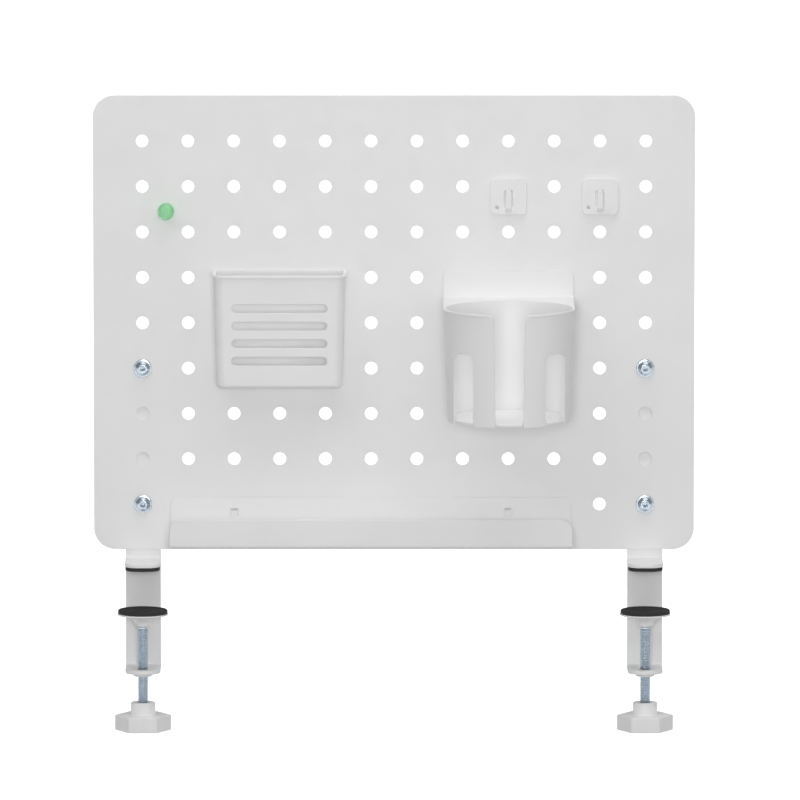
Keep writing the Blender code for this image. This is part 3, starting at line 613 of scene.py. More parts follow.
def finish_of(name):
    """A finish by name, made once."""
    return bpy.data.materials.get(name) or MAKERS[name](bpy.context.scene.pegboard_finishes)


def piece(name, mesh, finish, body, nodes, bevel=0.0, sharp=38):
    """A finished piece that rides on a body and stands for CAD nodes."""
    mesh.name = name
    mesh.materials.clear()
    mesh.materials.append(finish_of(finish))
    mesh.polygons.foreach_set("use_smooth", [True] * len(mesh.polygons))
    obj = bpy.data.objects.new(name, mesh)
    bpy.context.scene.collection.objects.link(obj)
    if bevel:
        edges = obj.modifiers.new("edges", "BEVEL")
        edges.width = bevel
        edges.segments = 3
        edges.limit_method = "ANGLE"
        edges.angle_limit = math.radians(sharp)
        edges.miter_outer = "MITER_ARC"
    else:
        mesh.set_sharp_from_angle(angle=math.radians(sharp))
    normals = obj.modifiers.new("normals", "WEIGHTED_NORMAL")
    normals.keep_sharp = True
    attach(obj, body)
    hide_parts(*nodes)
    return obj


# ---------------------------------------------------------------- places


def middle(node):
    """The middle of a CAD node's box."""
    low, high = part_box(node)
    return (low + high) / 2


def row_z(row):
    """Z of a hole row, counted from 0 at the top."""
    sizes = bpy.context.scene.pegboard_panel
    margin = (PANEL_HIGH.z - PANEL_LOW.z - (sizes.rows - 1) * sizes.pitch) / 2
    return PANEL_HIGH.z - margin - row * sizes.pitch


def column_x(column):
    """X of a hole column, counted from 0 at the left."""
    sizes = bpy.context.scene.pegboard_panel
    return (column - (sizes.columns - 1) / 2) * sizes.pitch


def hanging_lug(x, hole_z, plate_t):
    """A lug struck out of a plate, bent back and down at 45 degrees through a hole."""
    root = hole_z - 0.9 * MM
    thickness = 1.4 * MM  # thinner than any plate, so its root lies inside the plate
    start_y = HANG_Y - plate_t / 2
    ahead = Vector((1, -1)).normalized()
    end = Vector((HANG_Y, root)) + ahead * 8 * MM
    corner = end - ahead * ((end.x - start_y) / ahead.x)
    line = [(start_y, corner.y + 2.2 * MM), tuple(corner), tuple(end)]

    def outline(run):
        half = 2.7 * MM
        return [rounded(rectangle((-half, 0), (half, run)), [0.1 * MM, 0.1 * MM, 1.4 * MM, 1.4 * MM], 5)]

    return folded(outline, line, 1.4 * MM, thickness, 0.3 * MM, x, 6)


# ---------------------------------------------------------------- operators


class PEGBOARD_OT_panel(bpy.types.Operator):
    """Make the perforated panel"""

    bl_idname = "pegboard.panel"
    bl_label = "Perforated Panel"

    def execute(self, context):
        sizes = context.scene.pegboard_panel
        low, high = (PANEL_LOW.x, PANEL_LOW.z), (PANEL_HIGH.x, PANEL_HIGH.z)
        outlines = [rounded(rectangle(low, high), [sizes.corner_r] * 4, 14)]
        for column in range(sizes.columns):
            for row in range(sizes.rows):
                outlines.append(circle((column_x(column), row_z(row)), sizes.hole_r, 32))
        mesh = upright(outlines, PANEL_LOW.y, PANEL_HIGH.y, sizes.edge_r)
        piece("finished_panel", mesh, "powder_coat", "board", ["peg_panel"])
        return {"FINISHED"}


class PEGBOARD_OT_brackets(bpy.types.Operator):
    """Make the folded steel brackets of both clamps"""

    bl_idname = "pegboard.brackets"
    bl_label = "Clamp Brackets"

    def execute(self, context):
        sizes = context.scene.pegboard_clamp
        t, half = sizes.steel_t, sizes.strip_w / 2
        for side in SIDES:
            node = f"{side}_mounting_bracket"
            low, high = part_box(node)
            x, back = middle(node).x, high.y - t / 2
            holes = [high.z - row_z(5), high.z - row_z(8)]
            line = [(back, high.z), (back, low.z + t / 2), (low.y, low.z + t / 2)]
            strip = self.strip(half, sizes.jaw_corner_r, holes)
            mesh = folded(strip, line, sizes.bend_r + t / 2, t, sizes.edge_r, x)
            piece(f"finished_{side}_mounting_bracket", mesh, "powder_coat", "board", [node])
            node = f"{side}_clamp_bracket"
            low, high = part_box(node)
            axis = middle(f"{side}_clamp_screw")
            jaw = low.z + 2.5 * MM + t / 2
            line = [(high.y - t / 2, high.z), (high.y - t / 2, jaw), (low.y, jaw)]
            holes = [high.z - row_z(8)]
            bored = self.strip(half, half, holes, low.y - axis.y, 4.3 * MM)
            mesh = folded(bored, line, sizes.bend_r + t / 2, t, sizes.edge_r, x)
            boss = ring(
                [(4.15, -1), (7.6, -1), (7.0, -4.0), (4.15, -4.0)], [0.2, 0.2, 0.7, 0.5], 64
            )
            moved(boss, Matrix.Translation((axis.x, axis.y, jaw)))
            piece(f"finished_{side}_clamp_bracket", joined(mesh, boss), "powder_coat", "board", [node])
        return {"FINISHED"}

    def strip(self, half, tip_r, holes, bore_from_tip=None, bore_r=0.0):
        """The outlines of a bracket strip, its tip rounded, with screw holes and perhaps a bore."""
        top_r = bpy.context.scene.pegboard_clamp.top_corner_r

        def outlines(run):
            tip = min(tip_r, half * 0.999)
            made = [rounded(rectangle((-half, 0), (half, run)), [top_r, top_r, tip, tip], 16)]
            made += [circle((0, v), 3.3 * MM, 28) for v in holes]
            if bore_from_tip is not None:
                made.append(circle((0, run + bore_from_tip), bore_r, 36))
            return made

        return outlines


class PEGBOARD_OT_pads(bpy.types.Operator):
    """Make the rubber pads under the upper jaws"""

    bl_idname = "pegboard.pads"
    bl_label = "Jaw Pads"

    def execute(self, context):
        corner = context.scene.pegboard_clamp.jaw_corner_r - 0.3 * MM
        for side in SIDES:
            low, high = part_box(f"{side}_jaw_pad")
            outline = rounded(rectangle(low.xy[:], high.xy[:]), [corner, corner, 0.5 * MM, 0.5 * MM], 14)
            mesh = level([outline], low.z, high.z, 0.35 * MM)
            piece(f"finished_{side}_jaw_pad", mesh, "black_rubber", "board", [f"{side}_jaw_pad"])
        return {"FINISHED"}


class PEGBOARD_OT_screws(bpy.types.Operator):
    """Make the flanged dome screws and the nuts that hold the brackets to the panel"""

    bl_idname = "pegboard.screws"
    bl_label = "Panel Screws and Nuts"

    def execute(self, context):
        for side in SIDES:
            for place in ("upper", "lower"):
                self.screw(f"{side}_{place}_screw")
                self.nut(f"{side}_{place}_nut")
        return {"FINISHED"}

    def screw(self, node):
        """One screw: domed head with a hexagon socket, and a threaded shank."""
        low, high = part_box(node)
        at = Matrix.Translation(((low.x + high.x) / 2, HANG_Y, (low.z + high.z) / 2))
        head = turned(
            [(0, 4.1), (3.3, 4.1), (5.35, 2.4), (5.45, 1.15), (6.85, 0.95), (6.85, 0),
             (2.7, 0), (2.7, -2), (0, -2)],
            [0, 1.6, 1.6, 0.3, 0.35, 0.15, 0, 0, 0],
            56,
            6,
        )
        socket = lofted(
            [
                [(2.31 * s * MM * math.cos(a), 2.31 * s * MM * math.sin(a), z * MM) for a in self.corners()]
                for s, z in ((0.25, 1.1), (0.99, 1.7), (1.0, 5.0))
            ]
        )
        mouth = lathe([(0, 3.7 * MM), (2.2 * MM, 3.72 * MM), (2.75 * MM, 4.3 * MM), (0, 4.3 * MM)], 48)
        head = combined(head, [socket, mouth])
        end = HANG_Y - high.y
        rod = screw_thread(2.98 * MM, 0.5 * MM, 1.0 * MM, end, 0)
        mesh = moved(joined(head, rod), at @ FRONT)
        piece(f"finished_{node}", mesh, "zinc_plate", "board", [node], sharp=30)

    def corners(self):
        """The six corner angles of a hexagon socket."""
        return [math.radians(30 + 60 * i) for i in range(6)]

    def nut(self, node):
        """One flanged nut, chamfered at both ends."""
        low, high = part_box(node)
        tall = (high.y - low.y) / MM
        at = Matrix.Translation(((low.x + high.x) / 2, low.y, (low.z + high.z) / 2))
        sides = [(5.77 * MM * math.cos(a), 5.77 * MM * math.sin(a)) for a in self.corners()]
        hexagon = moved(blank([rounded(sides, [0.25 * MM] * 6, 3)], (tall - 0.6) * MM, 0.12 * MM),
                        Matrix.Translation((0, 0, (tall + 0.6) / 2 * MM)))
        cone = lathe([(0, 0), (7.4 * MM, 0), (4.9 * MM, tall * MM), (0, tall * MM)], 64)
        body = combined(hexagon, [cone], "INTERSECT")
        flange = ring([(3.2, 0), (6.6, 0), (6.6, 0.7), (5.2, 1.6), (3.2, 1.6)], [0, 0.15, 0.3, 0.3, 0], 56)
        bore = lathe([(0, -MM), (3.05 * MM, -MM), (3.05 * MM, 9 * MM), (0, 9 * MM)], 36)
        mesh = moved(joined(combined(body, [bore]), flange), at @ Matrix.Rotation(math.radians(-90), 4, "X"))
        piece(f"finished_{node}", mesh, "zinc_plate", "board", [node], sharp=30)


class PEGBOARD_OT_feet(bpy.types.Operator):
    """Make the pressure feet: rubber disc, pressed steel disc with its hub, and swivel ball"""

    bl_idname = "pegboard.feet"
    bl_label = "Pressure Feet"

    def execute(self, context):
        radius = context.scene.pegboard_clamp.foot_r / MM
        for side in SIDES:
            screw = middle(f"{side}_clamp_screw")
            at = Matrix.Translation((screw.x, screw.y, 0))
            low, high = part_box(f"{side}_foot_pad")
            top, under, rim = high.z / MM, low.z / MM, (high.x - low.x) / 2 / MM
            pad = turned(
                [(0, top - 0.35), (rim - 4.2, top - 0.35), (rim - 3.6, top), (rim - 0.5, top),
                 (rim, top - 0.7), (rim, under), (0, under)],
                [0, 0.5, 0.5, 0.4, 0.4, 0.3, 0],
                96,
            )
            piece(f"finished_{side}_foot_pad", moved(pad, at), "black_rubber", f"{side}_foot",
                  [f"{side}_foot_pad"])
            low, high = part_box(f"{side}_foot_plate")
            top, mouth = high.z / MM, low.z / MM
            under = top - 1.2
            ball = middle(f"{side}_swivel_ball").x
            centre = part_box(f"{side}_swivel_ball")[1].z / MM - 5
            cavity = [(5.3 * math.cos(math.radians(a)), centre + 5.3 * math.sin(math.radians(a)))
                      for a in range(-40, 90, 13)]
            hub = [(0, top), (radius, top), (radius, under), (13.8, under), (10.6, under - 1.5),
                   (6.9, under - 4.9), (6.2, under - 6.2), (6.2, mouth), (cavity[0][0], mouth)]
            bends = [0, 0.5, 0.5, 2.0, 2.5, 2.5, 1.5, 0.5, 0.2]
            mesh = turned(hub + cavity[1:] + [(0, centre + 5.3)], bends + [0] * len(cavity), 96)
            piece(f"finished_{side}_foot_plate", moved(mesh, at), "powder_coat", f"{side}_foot",
                  [f"{side}_foot_plate"])
            arc_points = arc((0, centre), 5, 90, -51, 16)
            bottom = arc_points[-1][1]
            profile = [(max(r, 0), z) for r, z in arc_points]
            profile += [(2.8, bottom), (2.8, centre + 2), (0, centre + 2)]
            mesh = turned(profile, [0] * len(profile), 48)
            piece(f"finished_{side}_swivel_ball", moved(mesh, Matrix.Translation((ball, screw.y, 0))),
                  "zinc_plate", f"{side}_swivel", [f"{side}_swivel_ball"])
        return {"FINISHED"}


class PEGBOARD_OT_clamp_screws(bpy.types.Operator):
    """Make the threaded clamp screws"""

    bl_idname = "pegboard.clamp_screws"
    bl_label = "Clamp Screws"

    def execute(self, context):
        sizes = context.scene.pegboard_clamp
        for side in SIDES:
            node = f"{side}_clamp_screw"
            low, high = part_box(node)
            at = Matrix.Translation((middle(node).x, middle(node).y, 0))
            shoulder = high.z - 6.1 * MM
            neck = turned(
                [(0, high.z / MM), (2.5, high.z / MM), (2.5, shoulder / MM - 0.2), (3.3, shoulder / MM - 0.2),
                 (3.3, shoulder / MM - 1.5), (0, shoulder / MM - 1.5)],
                [0, 0.3, 0.2, 0.3, 0, 0], 48,
            )
            depth, pitch = sizes.thread_depth, sizes.thread_pitch
            rod = screw_thread(sizes.thread_r, depth, pitch, low.z, shoulder - 0.3 * MM)
            mesh = moved(joined(neck, rod), at)
            piece(f"finished_{node}", mesh, "zinc_plate", f"{side}_screw", [node], sharp=42)
        return {"FINISHED"}


class PEGBOARD_OT_knobs(bpy.types.Operator):
    """Make the moulded knobs"""

    bl_idname = "pegboard.knobs"
    bl_label = "Knobs"

    def execute(self, context):
        sizes = context.scene.pegboard_clamp
        for side in SIDES:
            node = f"{side}_knob"
            low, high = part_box(node)
            x, y = middle(node).xy
            collar = sizes.collar_h
            shoulder = high.z - collar
            corners = [(x + p[0], y + p[1]) for p in arc((0, 0), sizes.knob_r, 0, 360, 6)[:-1]]
            outline = rounded(corners, [sizes.knob_corner_r] * 6, 8)
            body = level([outline], low.z, shoulder, 1.0 * MM)
            radius = sizes.collar_r / MM
            neck = ring(
                [(4.3, -1), (radius + 1.3, -1), (radius + 0.2, 0.5), (radius, collar / MM),
                 (4.3, collar / MM)],
                [0, 0.2, 0.8, 1.2, 0.6],
                72,
            )
            moved(neck, Matrix.Translation((x, y, shoulder)))
            piece(f"finished_{node}", joined(body, neck), "satin_plastic", f"{side}_screw", [node])
        return {"FINISHED"}


class PEGBOARD_OT_tray(bpy.types.Operator):
    """Make the folded tray with its two lugs"""

    bl_idname = "pegboard.tray"
    bl_label = "Tray"

    def execute(self, context):
        sizes = context.scene.pegboard_holders
        low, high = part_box("tray")
        t, x, half = sizes.tray_t, middle("tray").x, (high.x - low.x) / 2
        back, floor, lip = HANG_Y - t / 2, low.z + t / 2, low.y + t / 2
        line = [(back, high.z), (back, floor), (lip, floor), (lip, low.z + sizes.tray_lip_h)]
        hole_z = row_z(8)
        root = hole_z - 0.9 * MM - 1.5 * MM / math.sqrt(2)
        columns = [column_x(2), column_x(8)]

        def outlines(run):
            radii = [sizes.tray_back_r, sizes.tray_back_r, sizes.tray_lip_r, sizes.tray_lip_r]
            made = [rounded(rectangle((-half, 0), (half, run)), radii, 12)]
            for column in columns:
                first, last = high.z - root + MM, high.z - root + 8 * MM
                corners = rectangle((column - x - 3 * MM, first), (column - x + 3 * MM, last))
                made.append(rounded(corners, [0.3 * MM, 0.3 * MM, 2.8 * MM, 2.8 * MM], 8))
            return made

        mesh = folded(outlines, line, MM + t / 2, t, sizes.edge_r, x)
        lugs = [hanging_lug(column, hole_z, t) for column in columns]
        piece("finished_tray", joined(mesh, *lugs), "powder_coat", "tray_unit", ["tray"])
        return {"FINISHED"}


class PEGBOARD_OT_pen_box(bpy.types.Operator):
    """Make the pen box with its slotted front and two lugs"""

    bl_idname = "pegboard.pen_box"
    bl_label = "Pen Box"

    def execute(self, context):
        sizes = context.scene.pegboard_holders
        low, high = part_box("pen_box")
        x, out = middle("pen_box").x, sizes.box_rim_out
        front = low.y + out
        top, bottom, wall = high.z, low.z, sizes.box_wall

        def loop(z, grow, corner):
            share = (z - bottom) / (top - bottom)
            half = (sizes.box_low_w + (sizes.box_top_w - sizes.box_low_w) * share) / 2 + grow
            back = HANG_Y - (wall if grow < -wall * 0.4 and z > bottom + wall * 0.99 else 0)
            corners = rectangle((x - half, front - grow), (x + half, back))
            return [(p[0], p[1], z) for p in rounded(corners, [corner, corner, 0.5 * MM, 0.5 * MM], 10)]

        r, soft = sizes.box_corner_r, 0.45 * MM
        loops = []
        for step in range(6):
            angle = math.radians(90 * step / 5)
            inset = sizes.box_foot_r * (1 - math.sin(angle))
            loops.append(loop(bottom + sizes.box_foot_r * (1 - math.cos(angle)), -inset, r - inset))
        rim_low = top - sizes.box_rim_h
        loops += [loop(rim_low - soft, 0, r)]
        loops += [loop(rim_low, soft * 0.5, r + soft * 0.5), loop(rim_low, out - soft, r + out - soft)]
        for angle in (30, 60, 90):
            a = math.radians(angle)
            grow = out - soft + soft * math.sin(a)
            loops.append(loop(rim_low + soft * (1 - math.cos(a)), grow, r + grow))
        for angle in (0, 30, 60, 90):
            a = math.radians(angle)
            grow = out - soft + soft * math.cos(a)
            loops.append(loop(top - soft + soft * math.sin(a), grow, r + grow))
        for angle in (0, 30, 60, 90):
            a = math.radians(angle)
            grow = -wall + soft - soft * math.sin(a)
            loops.append(loop(top - soft + soft * math.cos(a), grow, r + grow))
        inner = 1.4 * MM
        for step in range(5):
            angle = math.radians(90 * step / 4)
            inset = inner * (1 - math.cos(angle))
            z = bottom + wall + inner * (1 - math.sin(angle))
            loops.append(loop(z, -wall - inset, r - wall - inset))
        body = lofted(loops)
        cutters = []
        for index in range(4):
            z = top - sizes.first_slot - index * sizes.slot_pitch
            half_w, half_h = sizes.slot_w / 2, sizes.slot_h / 2
            corners = rectangle((x - half_w, z - half_h), (x + half_w, z + half_h))
            cutters.append(self.slot_tool(corners, half_h, front, front + wall, sizes.edge_r))
        body = combined(body, cutters)
        hole_z = row_z(3)
        piece("finished_pen_box", body, "powder_coat", "pen_box_unit", ["pen_box"])
        lugs = joined(*[hanging_lug(column_x(i), hole_z, wall) for i in (2, 4)])
        piece("finished_pen_box_lugs", lugs, "powder_coat", "pen_box_unit", ["pen_box"])
        return {"FINISHED"}

    def slot_tool(self, corners, half_h, front, back, edge_r):
        """A tool that cuts a slot through a wall and rounds both its edges."""
        fillet = [math.radians(30 * step) for step in range(4)]
        stations = [(front - MM, edge_r)]
        quarter = [(edge_r * (1 - math.cos(a)), edge_r * (1 - math.sin(a))) for a in fillet]
        stations += [(front + depth, grow) for depth, grow in quarter]
        stations += [(back - depth, grow) for depth, grow in reversed(quarter)]
        stations.append((back + MM, edge_r))
        (left, low), (right, high) = corners[0], corners[2]
        loops = []
        for y, grow in stations:
            grown = rectangle((left - grow, low - grow), (right + grow, high + grow))
            loops.append([(p[0], y, p[1]) for p in rounded(grown, [(half_h + grow) * 0.995] * 4, 10)])
        return lofted(loops)


class PEGBOARD_OT_cup_holder(bpy.types.Operator):
    """Make the cup holder: rolled wall, rim and flange, and its floor"""

    bl_idname = "pegboard.cup_holder"
    bl_label = "Cup Holder"

    def execute(self, context):
        sizes = context.scene.pegboard_holders
        low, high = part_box("cup_holder")
        x, axis_y = middle("cup_holder").x, HANG_Y - sizes.cup_out
        foot, rim = low.z, high.z - sizes.flange_h
        wall = self.wall(sizes, x, axis_y, foot, rim)
        crown = self.crown(sizes, x, axis_y, rim, high.z)
        lugs = [hanging_lug(column_x(i), row_z(3), sizes.flange_t) for i in (7, 9)]
        mesh = joined(wall, crown, *lugs)
        piece("finished_cup_holder", mesh, "powder_coat", "cup_unit", ["cup_holder"])
        self.floor(sizes, x, axis_y)
        return {"FINISHED"}

    def wall(self, sizes, x, axis_y, foot, rim):
        """The wall: a sheet with its handle slot and windows, rolled into a cone."""
        turn = (sizes.cup_r + sizes.cup_foot_r) / 2 - sizes.cup_wall / 2
        rim -= 0.04 * MM

        def radius(z):
            return sizes.cup_foot_r + (sizes.cup_r - sizes.cup_foot_r) * (z - foot) / (rim - foot)

        def around(offset, z):
            return turn * math.asin(offset / radius(z)), z

        flare = sizes.mouth_flare
        half_top, half_low = sizes.mouth_w / 2, sizes.mouth_low_w / 2
        right = [around(half_low, foot)]
        for step in range(1, 9):
            share = step / 8
            offset = half_low + (half_top - half_low) * share
            right.append(around(offset, foot + (rim - flare - foot) * share))
        right += [around(px, pz) for px, pz in arc((half_top + flare, rim - flare), flare, 180, 90, 8)[1:]]
        window = rounded(
            rectangle((sizes.window_in, foot), (sizes.window_out, foot + sizes.window_h)),
            [0, 0, 4 * MM, 4 * MM], 8,
        )
        notch = [around(px, max(pz, foot)) for px, pz in window]
        notch = notch[1:] + notch[:1]
        full = 2 * math.pi * turn
        lower_right = notch[::-1]
        lower_left = [(full - u, z) for u, z in notch]
        upper_left = [(full - u, z) for u, z in right]
        outline = [right[0]] + lower_right + lower_left + upper_left + right[::-1][:-1]
        flat = blank([outline], sizes.cup_wall, sizes.edge_r)
        steps = 144
        mesh = creased(flat, [full * i / steps for i in range(1, steps)], 0)
        for vert in mesh.vertices:
            angle = vert.co.x / turn
            z = vert.co.y
            r = radius(z) - sizes.cup_wall / 2 + vert.co.z
            vert.co = (x + r * math.sin(angle), axis_y - r * math.cos(angle), z)
        bm = bmesh.new()
        bm.from_mesh(mesh)
        return mesh_of(bm)

    def crown(self, sizes, x, axis_y, rim, top):
        """The flange against the panel, folded forward into the plate round the cup's rim."""
        t, half, corner_r = sizes.flange_t, sizes.flange_w / 2, sizes.flange_r
        inner_r, outer_r = sizes.cup_r - sizes.cup_wall, sizes.cup_r + 0.3 * MM
        front = axis_y - outer_r
        line = [(HANG_Y - t / 2, top), (HANG_Y - t / 2, rim - t / 2), (front, rim - t / 2)]
        notch = sizes.mouth_w / 2 + sizes.mouth_flare

        def outlines(run):
            axis = run - outer_r
            start = math.degrees(math.asin(notch / outer_r))
            outer = arc((0, axis), outer_r, 0, 90 - start, 30)
            end = math.degrees(math.asin(notch / inner_r))
            inner = arc((0, axis), inner_r, 90 - end, -270 + end, 110)
            left = [(-px, py) for px, py in reversed(outer)]
            sides = [(half, corner_r), (half, axis - 6 * MM)]
            corner = arc((half - corner_r, corner_r), corner_r, 0, -90, 8)[::-1][:-1]
            mirrored = [(-px, py) for px, py in reversed(corner + sides)]
            return [corner + sides + outer + inner + left + mirrored]

        return folded(outlines, line, 1.2 * MM + t / 2, t, sizes.edge_r, x)

    def floor(self, sizes, x, axis_y):
        """The floor disc, its three tabs reaching into the slot and windows."""
        low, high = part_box("cup_floor")
        disc_r = sizes.cup_foot_r - sizes.cup_wall - 2 * GAP
        reach = sizes.cup_foot_r - 0.5 * MM
        half = sizes.mouth_low_w / 2 - MM
        spans = [(-half, half), (sizes.window_in + MM, sizes.window_out - MM)]
        spans.append((MM - sizes.window_out, -MM - sizes.window_in))
        turns = []
        for first, last in spans:
            turns.append([math.degrees(math.asin(v / reach)) for v in (first, last)])
        outline = []
        for step in range(240):
            angle = -180 + 360 * step / 240
            tab = any(first <= angle <= last for first, last in turns)
            r, a = reach if tab else disc_r, math.radians(angle)
            outline.append((x + r * math.sin(a), axis_y - r * math.cos(a)))
        mesh = level([outline], low.z, high.z, 0.4 * MM)
        piece("finished_cup_floor", mesh, "powder_coat", "cup_unit", ["cup_floor"])


class PEGBOARD_OT_hooks(bpy.types.Operator):
    """Make the two hook plates"""

    bl_idname = "pegboard.hooks"
    bl_label = "Hook Plates"

    def execute(self, context):
        for number in (1, 2):
            self.hook(context.scene.pegboard_holders, f"hook_plate_{number}", f"hook_{number}_unit")
        return {"FINISHED"}

    def hook(self, sizes, node, body):
        """One square plate with its slot, eye, struck-out hook and lug."""
        low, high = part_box(node)
        x, t = middle(node).x, sizes.hook_plate_t
        half = (high.x - low.x) / 2
        top = low.z + 2 * half
        centre_z = low.z + half
        front = HANG_Y - t
        slot_low = centre_z - 7.7 * MM
        outlines = [rounded(rectangle((x - half, low.z), (x + half, top)), [4.5 * MM] * 4, 10)]
        slot = rectangle((x - 3.3 * MM, slot_low), (x + 3.3 * MM, slot_low + 12.5 * MM))
        outlines.append(rounded(slot, [0.4 * MM] * 4, 4))
        outlines.append(circle((x - 8.7 * MM, centre_z - 8.1 * MM), 1.15 * MM, 24))
        plate = upright(outlines, front, HANG_Y, sizes.edge_r)
        strip_z, tip_y = slot_low - 2 * MM, low.y + sizes.hook_t / 2
        line = [(HANG_Y - t / 2, strip_z), (tip_y, strip_z), (tip_y, strip_z + 15.8 * MM)]

        def outline(run):
            w = sizes.hook_w / 2
            return [rounded(rectangle((-w, 0), (w, run)), [0.1 * MM, 0.1 * MM, 1.6 * MM, 1.6 * MM], 6)]

        strip = folded(outline, line, 1.5 * MM + sizes.hook_t / 2, sizes.hook_t, 0.5 * MM, x)
        lug = hanging_lug(x, row_z(1), t)
        piece(f"finished_{node}", joined(plate, strip, lug), "powder_coat", body, [node])


class PEGBOARD_OT_pin(bpy.types.Operator):
    """Make the clear push pin and its magnet"""

    bl_idname = "pegboard.pin"
    bl_label = "Push Pin"

    def execute(self, context):
        at = middle("pin_magnet")
        place = Matrix.Translation((at.x, HANG_Y, at.z)) @ FRONT
        cap = turned(
            [(0, 15), (5.0, 15), (5.8, 13.4), (5.4, 11), (3.9, 9.2), (3.9, 5.2), (6.15, 3.4),
             (6.15, 0), (4.9, 0), (4.9, 2.4), (0, 2.4)],
            [0, 1.6, 1.4, 1.0, 1.8, 2.0, 0.9, 0.4, 0.1, 0.2, 0], 64, 7,
        )
        piece("finished_pin_cap", moved(cap, place), "clear_green", "pin_unit", ["pin_cap"])
        disc = turned([(0, 2.1), (4.6, 2.1), (4.6, 0), (0, 0)], [0, 0.4, 0.4, 0], 48)
        piece("finished_pin_magnet", moved(disc, place), "nickel", "pin_unit", ["pin_magnet"])
        return {"FINISHED"}


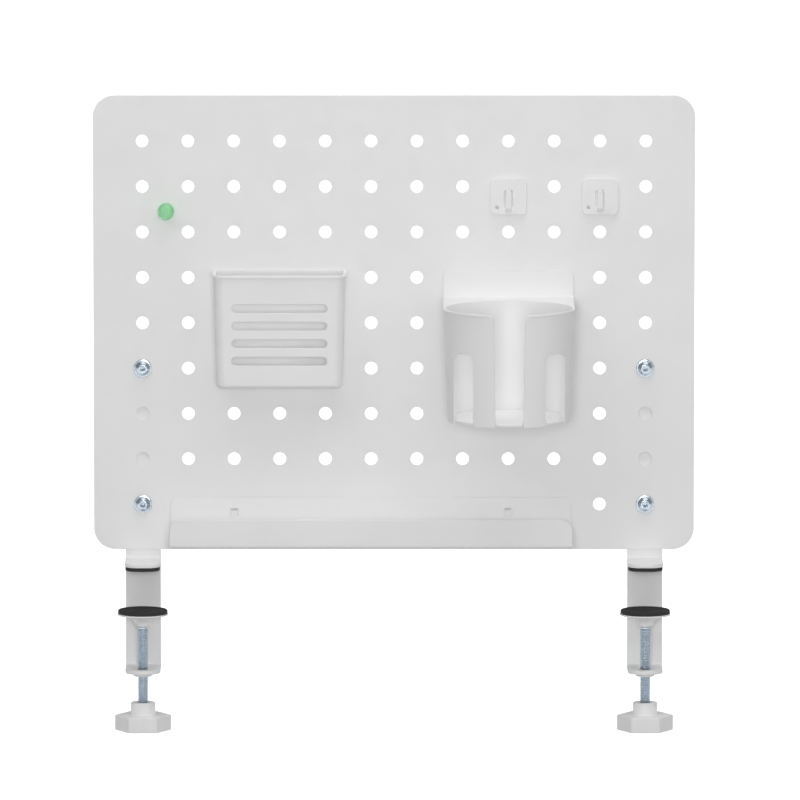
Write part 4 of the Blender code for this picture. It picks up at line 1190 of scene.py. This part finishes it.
class PEGBOARD_OT_studio(bpy.types.Operator):
    """Make the floor, the lights and the camera"""

    bl_idname = "pegboard.studio"
    bl_label = "Studio"

    def execute(self, context):
        studio = context.scene.pegboard_studio
        self.floor(studio)
        self.sky(context.scene, studio.sky)
        low, high = CAD_BOX
        centre = (low + high) / 2
        lights = (
            ("key_light", (-1.7, -2.6, 2.3), 1.6, studio.key),
            ("fill_light", (2.4, -2.4, 1.0), 1.8, studio.fill),
            ("front_light", (0, -3.2, 0.53), 0.5, studio.front),
            ("top_light", (0.2, -0.5, 2.8), 2.4, studio.top),
            ("back_light", (0.6, 2.8, 1.8), 1.8, studio.fill),
        )
        for name, place, size, power in lights:
            self.light(name, place, centre, size, power)
        data = bpy.data.cameras.new("camera")
        data.lens = studio.lens
        data.sensor_width = 36
        data.clip_end = 100
        camera = bpy.data.objects.new("camera", data)
        context.scene.collection.objects.link(camera)
        aim = centre + Vector((studio.aim_x, 0, studio.aim_z))
        back = Vector((0, -math.cos(studio.elevation), math.sin(studio.elevation)))
        camera.location = aim + back * studio.distance
        camera.rotation_mode = "QUATERNION"
        camera.rotation_quaternion = (-back).to_track_quat("-Z", "Y")
        context.scene.camera = camera
        context.scene.view_settings.view_transform = "Standard"
        return {"FINISHED"}

    def floor(self, studio):
        """A wide pale floor under the knobs."""
        steps, radius = 64, 45
        bm = bmesh.new()
        height = CAD_BOX[0].z - studio.floor_drop
        inner = [bm.verts.new((p[0], p[1], height)) for p in circle((0, 0), radius, steps)]
        bm.faces.new(inner)
        floor = bpy.data.objects.new("floor", mesh_of(bm))
        made, tree, shader = new_finish("floor_paint", roughness=0.9)
        colours = bpy.context.scene.pegboard_finishes
        tinted(tree, grain(tree, 0.4, 3.0), shader.inputs["Base Color"], colours.floor, 0.995, 1.005)
        shader.inputs["Specular IOR Level"].default_value = 0.1
        shader.inputs["Emission Color"].default_value = (1, 1, 1, 1)
        shader.inputs["Emission Strength"].default_value = studio.glow
        floor.data.materials.append(made)
        bpy.context.scene.collection.objects.link(floor)
        floor.visible_diffuse = False

    def sky(self, scene, strength):
        """A white surrounding that darkens gently towards the ground."""
        world = bpy.data.worlds.new("studio_sky")
        world.use_nodes = True
        tree = world.node_tree
        node = tree.nodes["Background"]
        where, split = tree.nodes.new("ShaderNodeTexCoord"), tree.nodes.new("ShaderNodeSeparateXYZ")
        height = tree.nodes.new("ShaderNodeMapRange")
        height.inputs["From Min"].default_value = -1
        height.inputs["To Min"].default_value = 0.95 * strength
        height.inputs["To Max"].default_value = 1.05 * strength
        tree.links.new(where.outputs["Generated"], split.inputs["Vector"])
        tree.links.new(split.outputs["Z"], height.inputs["Value"])
        tree.links.new(height.outputs["Result"], node.inputs["Strength"])
        node.inputs["Color"].default_value = (1, 1, 1, 1)
        scene.world = world

    def light(self, name, place, aim, size, power):
        """A soft square light aimed at a point."""
        data = bpy.data.lights.new(name, "AREA")
        data.shape = "SQUARE"
        data.size = size
        data.energy = power
        obj = bpy.data.objects.new(name, data)
        obj.location = place
        obj.rotation_mode = "QUATERNION"
        obj.rotation_quaternion = (aim - Vector(place)).to_track_quat("-Z", "Y")
        obj.visible_camera = False
        bpy.context.scene.collection.objects.link(obj)


OPERATORS = (
    PEGBOARD_OT_panel,
    PEGBOARD_OT_brackets,
    PEGBOARD_OT_pads,
    PEGBOARD_OT_screws,
    PEGBOARD_OT_feet,
    PEGBOARD_OT_clamp_screws,
    PEGBOARD_OT_knobs,
    PEGBOARD_OT_tray,
    PEGBOARD_OT_pen_box,
    PEGBOARD_OT_cup_holder,
    PEGBOARD_OT_hooks,
    PEGBOARD_OT_pin,
    PEGBOARD_OT_studio,
)
GROUPS = {
    "pegboard_panel": PanelSizes,
    "pegboard_clamp": ClampSizes,
    "pegboard_holders": HolderSizes,
    "pegboard_finishes": Finishes,
    "pegboard_studio": StudioSettings,
}


class VIEW3D_PT_pegboard(bpy.types.Panel):
    """Lists the pieces and their sizes"""

    bl_label = "Pegboard"
    bl_space_type = "VIEW_3D"
    bl_region_type = "UI"
    bl_category = "Pegboard"

    def draw(self, context):
        layout = self.layout
        for operator in OPERATORS:
            layout.operator(operator.bl_idname)
        for name, group in GROUPS.items():
            box = layout.box()
            box.label(text=group.__doc__)
            for prop in group.__annotations__:
                box.prop(getattr(context.scene, name), prop)


def register():
    """Register the properties, operators and panel."""
    for group in GROUPS.values():
        bpy.utils.register_class(group)
    for operator in OPERATORS:
        bpy.utils.register_class(operator)
    bpy.utils.register_class(VIEW3D_PT_pegboard)
    for name, group in GROUPS.items():
        setattr(bpy.types.Scene, name, PointerProperty(type=group))


def unregister():
    """Take everything out again."""
    for name in GROUPS:
        delattr(bpy.types.Scene, name)
    bpy.utils.unregister_class(VIEW3D_PT_pegboard)
    for made in reversed(OPERATORS + tuple(GROUPS.values())):
        bpy.utils.unregister_class(made)


def main():
    """Make every piece and the studio."""
    register()
    for operator in OPERATORS:
        getattr(bpy.ops.pegboard, operator.bl_idname.split(".")[1])()


if __name__ == "__main__":
    main()
